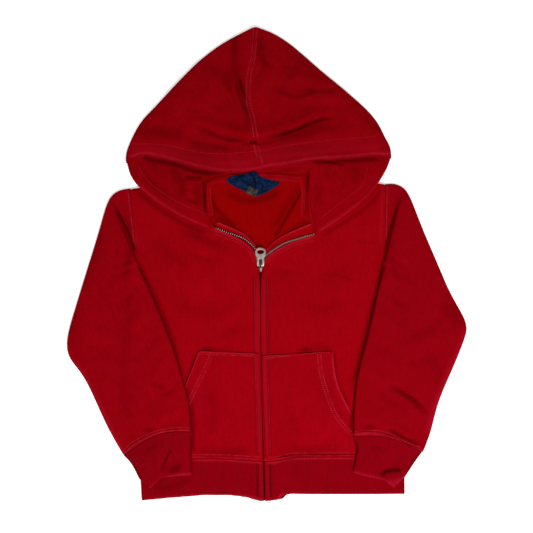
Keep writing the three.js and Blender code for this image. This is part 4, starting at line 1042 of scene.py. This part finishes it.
CENTRE_SEAM = [(-16, 329), (-19, 289), (-25, 263), (-26, 228), (-20, 203), (-15, 174)]
BAND_SEAM = [(-15, 165), (-11, 149), (-8, 136)]
HOOD_LIP = [(-191, 150), (-172, 155), (-148, 151), (-122, 144), (-91, 136), (-66, 131), (-41, 131),
            (-17, 133), (-1, 137), (27, 141), (56, 146), (75, 148), (118, 151), (147, 154), (172, 154)]
BAND_STITCH = [(-187, 168), (-148, 167), (-112, 160), (-77, 154), (-36, 156), (-1, 159), (23, 165),
               (70, 171), (114, 175), (156, 179)]
LONG_FOLD_LEFT = [(-108, 193), (-88, 186), (-64, 177), (-40, 173), (-21, 170)]
LONG_FOLD_RIGHT = [(-17, 170), (3, 173), (27, 180), (55, 190), (81, 198), (112, 203)]
HOOD_CREASES = [
    stroke(4.5, -3.5, *LONG_FOLD_LEFT, fade=0.35, fade_out=0.02),
    stroke(4.5, -3.8, *LONG_FOLD_RIGHT, fade=0.02, fade_out=0.4),
    stroke(10, 4.6, (-127, 207), (-87, 196), (-49, 184), (-15, 181), (21, 189), (63, 203), (109, 214),
           fade=0.25),
    stroke(6, -2.2, (-85, 174), (-54, 164), (-21, 163)),
    stroke(6, -2.0, (18, 172), (53, 182), (91, 192), (119, 196)),
    stroke(3, 1.9, (-35, 168), (-28, 160), (-25, 151)),
    stroke(3.4, -3.0, (-39, 263), (-38, 241), (-32, 224), (-24, 207)),
    stroke(5, 2.7, (-46, 277), (-47, 249), (-40, 224), (-29, 202)),
    stroke(5.5, -2.6, (-56, 294), (-57, 261), (-50, 233), (-35, 207)),
    stroke(10, 2.4, (-71, 283), (-77, 249), (-71, 219), (-52, 193)),
    stroke(10, -1.9, (-94, 261), (-102, 233), (-96, 205)),
    stroke(11, 1.8, (-119, 241), (-130, 219), (-124, 199)),
    stroke(4.5, -2.2, (-7, 297), (2, 283), (13, 272)),
    stroke(6, 1.6, (-12, 308), (2, 294), (24, 277)),
    stroke(6, 2.0, (-1, 277), (-7, 249), (-7, 219)),
    stroke(8, -1.6, (10, 261), (10, 235), (16, 207)),
    stroke(6, 1.5, (2, 261), (35, 258), (69, 261)),
    stroke(3.8, -2.3, (46, 247), (66, 242), (86, 244), (102, 251), fade=0.35),
    stroke(7, 2.0, (49, 235), (74, 231), (105, 235)),
    stroke(7, -1.6, (32, 224), (66, 220), (111, 223)),
    stroke(7, -1.9, (-164, 199), (-144, 185), (-113, 177)),
    stroke(7, 1.4, (-150, 213), (-124, 196), (-99, 182)),
    stroke(6, 1.2, (-186, 163), (-164, 161), (-136, 157), (-94, 146), (-49, 142), (-15, 146), fade=0.1),
    stroke(6, 1.2, (-7, 149), (32, 154), (74, 160), (119, 163), (164, 167), fade=0.1),
    stroke(2.6, -0.9, (14, 164), (18, 151), (20, 142)),
    stroke(3.5, 0.9, (46, 167), (51, 156), (52, 146)),
    stroke(3.5, -0.9, (-54, 154), (-50, 143), (-50, 133)),
    stroke(2.8, -2.7, (-116, 123), (-105, 121), (-89, 120), fade=0.25),
    stroke(5, 2.0, (-127, 115), (-108, 112), (-89, 109)),
    stroke(3, -2.2, (-116, 94), (-105, 90), (-92, 84)),
    stroke(4, 1.6, (-122, 107), (-108, 98), (-89, 94)),
    stroke(5, -2.0, (-173, 149), (-161, 146), (-150, 135), (-141, 118)),
    stroke(6, 1.2, (-164, 112), (-138, 95), (-110, 83), fade=0.2),
    stroke(2.8, -2.4, (76, 146), (91, 143), (111, 138)),
    stroke(4, -1.6, (88, 135), (104, 123), (108, 104)),
    stroke(6, 1.6, (77, 129), (86, 109), (86, 87)),
    stroke(6, 1.2, (147, 135), (128, 107), (100, 81), fade=0.2),
]
HOOD_LOFT = [
    stroke(34, 4.5, (-63, 272), (-99, 230), (-127, 199), fade=0.2),
    stroke(34, 4.5, (24, 263), (69, 235), (108, 213), fade=0.2),
]
# Paler paint on the hood: seams and rim edges paler with wear, a painted highlight along the lip and a
# painted sheen on the band.
HOOD_WEAR_AND_HIGHLIGHTS = [
    stroke(2.2, 0.2, *CENTRE_SEAM, fade=0.05),
    stroke(3.0, 0.24, *BAND_SEAM, fade=0.05),
    stroke(2.2, 0.65, *HOOD_LIP, fade=0.02),
    stroke(7, 0.22, (10, 150), (41, 154), (72, 157)),
    stroke(6, 0.2, (-63, 142), (-38, 140), (-15, 143)),
    stroke(6, 0.16, (-172, 161), (-141, 158), (-119, 151)),
    stroke(10, 0.16, (-190, 157), (-150, 158), (-108, 151), (-63, 143), (-15, 146), (32, 154), (88, 161),
           (164, 167), fade=0.03),
    stroke(2.2, 0.6, (-197, 142), (-192, 123), (-176, 107), (-150, 86), (-124, 70), (-101, 58), (-80, 49),
           fade=0.05),
    stroke(2.2, 0.6, (177, 149), (165, 126), (142, 94), (118, 75), (94, 58), (70, 43), fade=0.05),
]
# Painted shade on the hood: broad shade at its outer sides and beside the centre seam, under the long fold
# and the lip, and in the creases.
HOOD_PAINTED_SHADE = [
    stroke(13, 0.26, (-98, 303), (-127, 265), (-161, 223), (-184, 181), fade=0.1),
    stroke(9, 0.18, (16, 311), (66, 269), (116, 235), (150, 193), (167, 164), fade=0.1),
    stroke(6, 0.38, (-43, 324), (-45, 290), (-41, 256), (-31, 223), (-22, 193), fade=0.05),
    stroke(3.0, 0.75, (-41, 269), (-35, 246), (-26, 223)),
    stroke(7, 0.38, (-14, 319), (-7, 294), (1, 271), fade=0.2),
    stroke(4, 0.2, (11, 279), (32, 273), (53, 273)),
    stroke(3, 0.42, (7, 248), (24, 237), (43, 233), (70, 239)),
    stroke(3.0, 0.88, (-11, 172), (16, 179), (41, 187), (74, 200), (106, 205)),
    stroke(6, 0.3, (-1, 168), (41, 179), (83, 191), (116, 193)),
    stroke(3, 0.6, (-98, 195), (-77, 182), (-52, 174), (-22, 170)),
    stroke(6, 0.34, (-119, 172), (-81, 164), (-39, 162)),
    stroke(9, 0.3, (-186, 181), (-152, 185), (-110, 181), fade=0.2),
    stroke(4, 0.75, (-173, 148), (-136, 141), (-94, 128), (-56, 126), fade=0.1),
    stroke(3.5, 0.65, (62, 142), (100, 143), (137, 146), (158, 147), fade=0.1),
    stroke(8, 0.34, (-136, 137), (-119, 114), (-117, 88), fade=0.2),
    stroke(7, 0.36, (-98, 114), (-94, 80), fade=0.2),
    stroke(5, 0.28, (116, 140), (125, 128), (119, 109)),
    stroke(6, 0.26, (74, 114), (70, 80)),
    stroke(5, 0.25, (-175, 129), (-155, 107), (-127, 87)),
    stroke(2.6, 0.5, *LONG_FOLD_LEFT, fade=0.4),
    stroke(2.4, 0.5, *LONG_FOLD_RIGHT, fade=0.4),
    stroke(2.2, 0.9, (-25, 170), (-19, 169), (-12, 170), fade=0.2),
    stroke(2.4, 0.45, (-38, 247), (-32, 227), (-24, 210), fade=0.35),
    stroke(3.4, 0.25, (-56, 289), (-56, 258), (-49, 233)),
    stroke(2, 0.35, (52, 245), (69, 242), (86, 244)),
    stroke(2, 0.8, (-116, 123), (-105, 121), (-88, 120), fade=0.2),
    stroke(2, 0.6, (-115, 93), (-105, 89), (-92, 84)),
    stroke(3.4, 0.8, (-175, 150), (-166, 148), (-155, 146)),
    stroke(1.8, 0.55, (76, 145), (91, 142), (111, 138)),
    stroke(2.2, 0.85, (-89, 118), (-87, 93), (-85, 67), fade=0.1),
    stroke(2.0, 0.8, (58, 132), (56, 95), (55, 60), fade=0.1),
]


def round_corner(piece, spot, draw, reach=20, turns=120):
    """Draws the cloth together near a place in mm, since a turned fold has no sharp tip."""
    places = points_of(piece)
    away = np.hypot(*(places[:, :2] / MM - spot).T)
    places[:, :2] += np.clip(1 - away / reach, 0, 1)[:, None] ** 2 * np.array(draw) * MM
    set_points(piece, places)
    group = piece.vertex_groups.new(name="corner")
    for n in np.flatnonzero(away < reach):
        group.add([int(n)], float(1 - (away[n] / reach) ** 2), "REPLACE")
    apply_modifier(piece, "SMOOTH", factor=0.5, iterations=turns, vertex_group="corner")
    piece.vertex_groups.clear()


HOODS = {}
HOOD_TIP = {"left": (-199.2, 142.2), "right": (176.6, 150.6)}
HOOD_TIP_DRAWN = {"left": (3.4, 0.3), "right": (-3.4, -0.3)}
HOOD_TURN = {"left": -35, "right": 35}
for side in ("left", "right"):
    hood = sewn_from("hood_" + side, "hood_side_" + side)
    lay_upper_creases(hood, HOOD_CREASES + HOOD_LOFT)
    round_corner(hood, HOOD_TIP[side], HOOD_TIP_DRAWN[side])
    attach(hood, "garment")
    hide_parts("hood_" + side)
    # Painted shade: the hood's red is set a little darker than the fronts', for the dimmer light towards
    # the hood.
    hood.data.materials.append(knit_material(
        "hood_fleece_" + side, (0.298, 0.0002, 0.0038), (0.17, 0.0002, 0.002), (0.40, 0.007, 0.022),
        turn=HOOD_TURN[side], mottle=0.75, nap=0.8))
    paint_lines(hood, "fading", HOOD_WEAR_AND_HIGHLIGHTS)
    paint_lines(hood, "hollow", HOOD_PAINTED_SHADE)
    HOODS[side] = hood
HOOD_SHEATHS = [sheath(hood) for hood in HOODS.values()]
sewing("hood_stitches", HOOD_SHEATHS,
       rows_beside([CENTRE_SEAM], 2.6, -2.6) + rows_beside([BAND_SEAM], 2.8, -2.8))
INNER_THREAD = thread_material("inner_thread", (0.37, 0.008, 0.017))
sewing("hood_band_stitches", HOOD_SHEATHS, rows_beside([
    BAND_STITCH,
    [(-179, 136), (-164, 114), (-138, 95), (-113, 81), (-89, 72), (-78, 66)],
    [(140, 132), (132, 109), (112, 93), (94, 79), (73, 63)],
    [(-82, 114), (-80, 93), (-78, 70)],
    [(63, 81), (63, 73), (62, 65)],
], 0), sink=0.15, thread=INNER_THREAD)
CENTRE_GAP = [(-16.6, 308.2), (-18.6, 288.6), (-25.0, 263.4), (-25.6, 228.4), (-20.0, 203.2),
              (-15.2, 173.8), (-11.0, 148.6), (-8.8, 136.0)]
HOOD_GAPS = {
    "left": ("hood_seam_allowance", CENTRE_GAP, 3.0, 4.0),
    "right": ("hood_seam_foot", [(-16, 128), (-16, 134), (-16, 142)], 0.4, 1.9),
}
for side, (name, gap, low, high) in HOOD_GAPS.items():
    strip = seam_fill(name, gap, width=5, low=low, high=high)
    strip.data.materials.append(FRONT_FLEECE)


# Neck tape. A narrow strip of the red cloth that covers the seam between hood and body inside the neck,
# sewn down along both edges.

TAPE_CLOTH = knit_material("neck_tape_cloth", (0.30, 0.0008, 0.0036), (0.215, 0.0003, 0.002),
                           (0.42, 0.008, 0.022), wale=420.0, mottle=0.5, nap=0.4, lift=0.25 * MM)
neck_tape = sewn_from("neck_tape", "neck_tape_strip", rim=0.3 * MM)
lay_creases(neck_tape, [
    stroke(4, 0.7, (-40, 112), (-36, 120), (-38, 128)),
    stroke(5, 0.8, (2, 112), (8, 119), (6, 127)),
    stroke(4, -0.5, (26, 111), (30, 118), (27, 126)),
    stroke(4, 0.7, (44, 102), (50, 92), (56, 86)),
], from_height=2.6)
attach(neck_tape, "garment")
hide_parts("neck_tape")
neck_tape.data.materials.append(TAPE_CLOTH)
NECK_SEAM = [(-98, 118), (-88, 121.4), (-64, 126.3), (-39, 128.9), (-15, 129.5), (10, 129.5), (35, 129),
             (57.5, 126.2)]
neck_allowance = seam_fill("neck_seam_allowance", NECK_SEAM, width=6, low=0.3, high=1.7)
neck_allowance.data.materials.append(INSIDE_FLEECE)
reach_up(neck_allowance, HOOD_SHEATHS, from_height=1)
NECK_TAPE_INNER = [(-73, 68), (-76, 91), (-76.5, 109), (-52, 114), (-15, 115.5), (22.5, 114.5), (45, 112),
                   (47, 106), (46, 88), (44.5, 66)]
paint_lines(neck_tape, "fading", [stroke(1.4, 0.22, *NECK_TAPE_INNER, fade=0.05)])
# Painted shade on the neck tape: along its outer edges under the hood and in its creases.
paint_lines(neck_tape, "hollow", [
    stroke(2.4, 0.5, (-84, 92), (-85, 114), (-54, 124), fade=0.05),
    stroke(2.2, 0.55, (52, 122), (54.5, 112), (54.5, 90), (53, 68), fade=0.05),
    stroke(5, 0.5, (-60, 118), (-40, 119), (-30, 116)),
    stroke(4, 0.4, (-4, 126), (20, 126), (46, 123), fade=0.1),
    stroke(3, 0.3, (20, 116), (30, 113), (44, 112)),
])
sewing("neck_tape_stitches", [sheath(neck_tape)], rows_beside([
    [(-75.5, 70), (-78.5, 91), (-79.3, 108)],
    [(-80.5, 70), (-82.8, 91), (-83.6, 108)],
    [(-50, 117.3), (-15, 118.8), (22, 117.9), (43, 116)],
    [(-50, 122.6), (-15, 124.6), (22, 123.4), (46, 120.5)],
    [(49.6, 105), (49.3, 88), (48, 70)],
    [(53, 105), (53.2, 88), (51.8, 70)],
], 0), sink=0.2, thread=INNER_THREAD)


# Size label. A strip of plain navy satin, held by its ends in the neck seam and crumpled into two points,
# with a small plain woven tab below it.

def label_material(name, satin, shade, sheen, weave):
    """Woven satin in two tones, with a sheen along the threads."""
    material, tree = new_material(name, {"Specular IOR Level": 0.02, "Sheen Weight": sheen,
                                         "Sheen Tint": (0.35, 0.5, 1, 1)})
    place = put(tree, "TexCoord").outputs["Object"]
    warp, weft = [put(tree, "TexWave", {"bands_direction": way}, Vector=place, Scale=weave,
                      Distortion=0.6).outputs["Fac"] for way in ("X", "Y")]
    patch = put(tree, "TexNoise", Vector=place, Scale=260, Detail=3).outputs["Fac"]
    woven = maths(tree, "MULTIPLY", warp, weft)
    colour = mix_colour(tree, remap(tree, patch, 0.38, 0.62), (*satin, 1), (*shade, 1))
    # Painted shade: near-black navy mixed in where the hollow share is laid.
    hollow = put(tree, "Attribute", {"attribute_name": "hollow"})
    colour = mix_colour(tree, hollow.outputs["Fac"], colour, (0.0006, 0.0014, 0.004, 1))
    surface(tree, colour, remap(tree, patch, 0, 1, (0.45, 0.7)), woven, strength=0.5, lift=0.2 * MM)
    return material


LABEL_CREASES = [
    stroke(3.4, 1.6, (-50, 117), (-30, 113), (-16, 106)),
    stroke(3, 1.2, (-40, 122), (-26, 120), (-17, 126)),
    stroke(2.6, -0.9, (-30, 126), (-24, 112), (-22, 100)),
    stroke(3, 1.8, (-17, 129), (-13, 118), (-16, 96), fade=0.1),
    stroke(2.4, -0.9, (-9, 120), (-8, 110), (-10, 98)),
    stroke(3, 1.5, (-4, 113), (8, 112), (18, 113)),
]
label = sewn_from("label", "size_label", finer=3, denser=False, rim=0.25 * MM)
lay_creases(label, LABEL_CREASES, from_height=3.4)
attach(label, "garment")
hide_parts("label")
label.data.materials.append(label_material("navy_satin", (0.0035, 0.017, 0.062), (0.0015, 0.006, 0.02),
                                           sheen=0.06, weave=330))
# Painted shade along the label's creases and under its folded points.
paint_lines(label, "hollow", [
    stroke(1.6, 0.85, (-25, 128), (-19, 121), (-14, 111), fade=0.1),
    stroke(1.8, 0.8, (-36, 120), (-32, 114), (-22, 110), (-13, 111), fade=0.1),
    stroke(3, 0.8, (-44, 126), (-36, 122), (-30, 127), fade=0.2),
    stroke(2.4, 0.6, (-46, 109), (-36, 103), (-25, 97), fade=0.1),
    stroke(2.4, 0.5, (-10, 104), (-4, 101), (4, 105), fade=0.2),
    stroke(1.4, 0.6, (-12, 118), (-9, 112), (-6, 108), fade=0.2),
])
TAB_AT = (-20.8, 101.6)
TAB_SIZE = (15, 10.2)
TAB_TURN = 24
TAB_FLOOR = 4.4 * MM
TAB_LIFT = 0.5 * MM
bpy.ops.object.select_all(action="DESELECT")
bpy.ops.mesh.primitive_grid_add(x_subdivisions=12, y_subdivisions=8, size=1)
tab = bpy.context.object
tab.name = tab.data.name = "size_tab"
bpy.ops.transform.resize(value=(TAB_SIZE[0] * MM, TAB_SIZE[1] * MM, 1))
bpy.ops.transform.rotate(value=math.radians(TAB_TURN), orient_axis="Z", center_override=(0, 0, 0))
bpy.ops.transform.translate(value=(TAB_AT[0] * MM, TAB_AT[1] * MM, 0))
bpy.ops.object.transform_apply(location=True, rotation=True, scale=True)
LABEL_SHEATH = sheath(label)
places = points_of(tab)
for place in places:
    place[2] = max([TAB_FLOOR] + heights_at([LABEL_SHEATH], place[0], place[1])) + TAB_LIFT
set_points(tab, places)
apply_modifier(tab, "SOLIDIFY", thickness=0.5 * MM, offset=0)
only(tab)
bpy.ops.object.shade_smooth()
tab.data.materials.append(label_material("tan_tab", (0.062, 0.05, 0.034), (0.005, 0.008, 0.014),
                                         sheen=0.05, weave=420))
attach(tab, "garment")


# Zip tapes with their facings. Woven red tape, caught under the edge of each front. Above the slider each
# half turns away along the neck, and a strip of it shows beyond the teeth.

TEETH_LEFT = [(-10.4, 8), (-12.4, 14), (-17, 22.2), (-25.5, 30.6), (-33, 36), (-46, 41.2), (-56, 44.2),
              (-74, 51.4)]
TEETH_RIGHT = [(-6.8, 8), (-4, 9.6), (2, 14.6), (12, 21.6), (26, 29.6), (46, 36), (66.5, 42)]
ZIP_TAPES = {}
tape_end = seam_fill("zip_tape_end", [(-3.6, -318), (-3.2, -324), (-3.0, -330.4)], width=9, low=0.6,
                     high=3.4)
tape_end.data.materials.append(TAPE_CLOTH)
for side in ("left", "right"):
    tape = sewn_from("zip_tape_" + side, "zip_facing_" + side, rim=0.3 * MM)
    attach(tape, "garment")
    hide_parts("zip_tape_" + side)
    tape.data.materials.append(TAPE_CLOTH)
    # Painted shade on the tapes: dark lines under the parted teeth and along the closed chain.
    paint_lines(tape, "hollow", [
        stroke(2.6, 1, (-10.4, 6), *TEETH_LEFT[1:], fade=0.01),
        stroke(2.6, 1, (-6.8, 6), *TEETH_RIGHT[1:], fade=0.01),
        stroke(5, 1, (-9.2, -10), (-8.8, -74), (-7.6, -169), (-4.6, -277), (-3.3, -326), fade=0.01),
    ])
    ZIP_TAPES[side] = tape
paint_lines(ZIP_TAPES["left"], "fading", [
    stroke(2.6, 1.0, (-9, 4), (-12, 20.5), (-23.5, 37.5), (-41, 48), (-70, 59.5), fade=0.05),
])
paint_lines(ZIP_TAPES["right"], "fading", [
    stroke(2.6, 1.0, (-8.7, 4), (-3.5, 17), (7, 32.5), (41, 49), (65, 58.5), fade=0.05),
])


# Zip teeth. Small stamped teeth of dark brass, clamped on the edge of each tape. They part above the
# slider and mesh below it, where they lie low between the two topstitched edges.

def metal_material(name, bright, dull, rough, grime=0.5):
    """Cast or stamped metal, dulled in patches, with painted shade where the hollow share is laid."""
    material, tree = new_material(name, {"Metallic": 1.0})
    place = put(tree, "TexCoord").outputs["Object"]
    fine = put(tree, "TexNoise", Vector=place, Scale=900, Detail=4).outputs["Fac"]
    broad = put(tree, "TexNoise", Vector=place, Scale=180, Detail=2).outputs["Fac"]
    colour = mix_colour(tree, remap(tree, broad, 0.4, 0.7, (0, grime)), (*bright, 1), (*dull, 1))
    # Painted shade: near-black mixed in where the hollow share is laid.
    hollow = put(tree, "Attribute", {"attribute_name": "hollow"})
    colour = mix_colour(tree, hollow.outputs["Fac"], colour, (0.012, 0.008, 0.008, 1))
    surface(tree, colour, remap(tree, fine, 0, 1, rough), fine, strength=0.25, lift=0.2 * MM)
    return material


BRASS = metal_material("dark_brass", (0.85, 0.78, 0.68), (0.30, 0.20, 0.15), rough=(0.3, 0.5))
# The closed chain is near-black, as painted shadow where it lies low between the topstitched edges.
CHAIN_SHADOW_METAL = metal_material("chain_shadow_brass", (0.05, 0.012, 0.012), (0.02, 0.002, 0.004),
                             rough=(0.5, 0.7))
TOOTH_PITCH = 3.1
TOOTH_WIDTH = 0.95


def tooth_row(name, path, low, high, across, metal):
    """Teeth along a path in mm, one piece: each a small block with its top edges bevelled."""
    line = smooth_line(path, step=2)
    bpy.ops.object.select_all(action="DESELECT")
    bpy.ops.mesh.primitive_cube_add(size=1)
    bpy.ops.transform.resize(value=(TOOTH_WIDTH * MM, across * MM, (high - low) * MM))
    bpy.ops.object.transform_apply(location=True, rotation=True, scale=True)
    teeth = bpy.context.object
    teeth.name = teeth.data.name = name
    apply_modifier(teeth, "BEVEL", width=0.25 * MM, segments=1)
    length = np.hypot(*(line[1:] - line[:-1]).T).sum() * MM
    spots = [(x * MM, y * MM, (low + high) / 2 * MM) for x, y in line]
    repeat_along(teeth, spots, TOOTH_PITCH * MM, length)
    teeth.data.materials.append(metal)
    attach(teeth, "garment")


tooth_row("zip_teeth_left", TEETH_LEFT, low=4.4, high=6.4, across=1.9, metal=BRASS)
tooth_row("zip_teeth_right", TEETH_RIGHT, low=4.4, high=6.4, across=1.9, metal=BRASS)
tooth_row("zip_chain_closed", CHAIN_LINE, low=3.6, high=5.2, across=1.2, metal=CHAIN_SHADOW_METAL)


# Slider and pull tab. Cast in a pale pewter alloy. The slider has a rounded bridge that the tab hooks on
# to, and the tab lies turned up over the opened zip, with an oval ring at its end and a slot by the hook.

PEWTER = metal_material("pewter", (0.35, 0.315, 0.275), (0.13, 0.11, 0.09), rough=(0.25, 0.4), grime=0.6)
slider = sewn_from("zip_slider", "slider_body", finer=0, denser=False, rim=0.3 * MM, sharp=35)
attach(slider, "garment")
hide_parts("zip_slider")
slider.data.materials.append(PEWTER)
# Painted shade in the slider's channel where the chain runs through.
paint_lines(slider, "hollow", [stroke(4.5, 0.95, (-8.8, 6), (-8.8, -5.5), fade=0.01)])
pull = sewn_from("pull_tab", "pull_tab_cast", finer=0, denser=False, rim=0.35 * MM, sharp=35)
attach(pull, "pull")
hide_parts("pull_tab")
pull.data.materials.append(PEWTER)
# Painted shade in lines down the tab's sides and in an arc across it.
paint_lines(pull, "hollow", [
    stroke(1.2, 0.7, (-14.6, -3), (-14.4, 9), fade=0.02),
    stroke(1.2, 0.7, (-3, -3), (-3.2, 9), fade=0.02),
    stroke(0.9, 0.5, (-12.5, 11.5), (-8.8, 12.6), (-5.1, 11.5), fade=0.1),
])


# Studio: a plain pale floor, a broad soft light a little below and to the right of the middle, a weaker
# one from the hood's side, and the camera straight above, as the garment was laid out.

bpy.ops.object.select_all(action="DESELECT")
bpy.ops.mesh.primitive_plane_add(size=6, location=(0, 0, -0.0002))
floor = bpy.context.object
floor.name = floor.data.name = "floor"
bpy.ops.object.transform_apply(location=True, rotation=True, scale=True)
paper = new_material("pale_paper", {
    "Base Color": (0.93, 0.93, 0.93, 1), "Roughness": 0.9, "Specular IOR Level": 0.1,
    "Emission Color": (1, 1, 1, 1), "Emission Strength": 0.38})[0]
floor.data.materials.append(paper)

KEY_LIGHT = {"at": (0.24, -0.62, 1.1), "size": 0.45, "power": 16.5}
FILL_LIGHT = {"at": (-0.5, 0.3, 1.5), "size": 1.2, "power": 3.5}
SKY = 0.34


def soft_light(name, at, size, power):
    bpy.ops.object.select_all(action="DESELECT")
    bpy.ops.object.light_add(type="AREA", location=at)
    lamp = bpy.context.object
    lamp.name = name
    lamp.data.shape = "DISK"
    lamp.data.size = size
    lamp.data.energy = power
    lamp.rotation_euler = (-Vector(at)).to_track_quat("-Z", "Y").to_euler()


soft_light("key_light", **KEY_LIGHT)
soft_light("fill_light", **FILL_LIGHT)
world = bpy.data.worlds.new("soft_room")
bpy.context.scene.world = world
world.use_nodes = True
world.node_tree.nodes["Background"].inputs["Color"].default_value = (1, 1, 1, 1)
world.node_tree.nodes["Background"].inputs["Strength"].default_value = SKY
bpy.context.scene.view_settings.view_transform = "Standard"

VIEW_SPAN = 0.7462
VIEW_MIDDLE = (-0.0005, -0.0033)
CAMERA_HEIGHT = 1.6
SENSOR = 36
bpy.ops.object.select_all(action="DESELECT")
bpy.ops.object.camera_add(location=(*VIEW_MIDDLE, CAMERA_HEIGHT), rotation=(0, 0, 0))
camera = bpy.context.object
camera.name = "camera_above"
camera.data.sensor_width = SENSOR
camera.data.lens = SENSOR * CAMERA_HEIGHT / VIEW_SPAN
camera.data.clip_start = 0.05
camera.data.clip_end = 20
bpy.context.scene.camera = camera
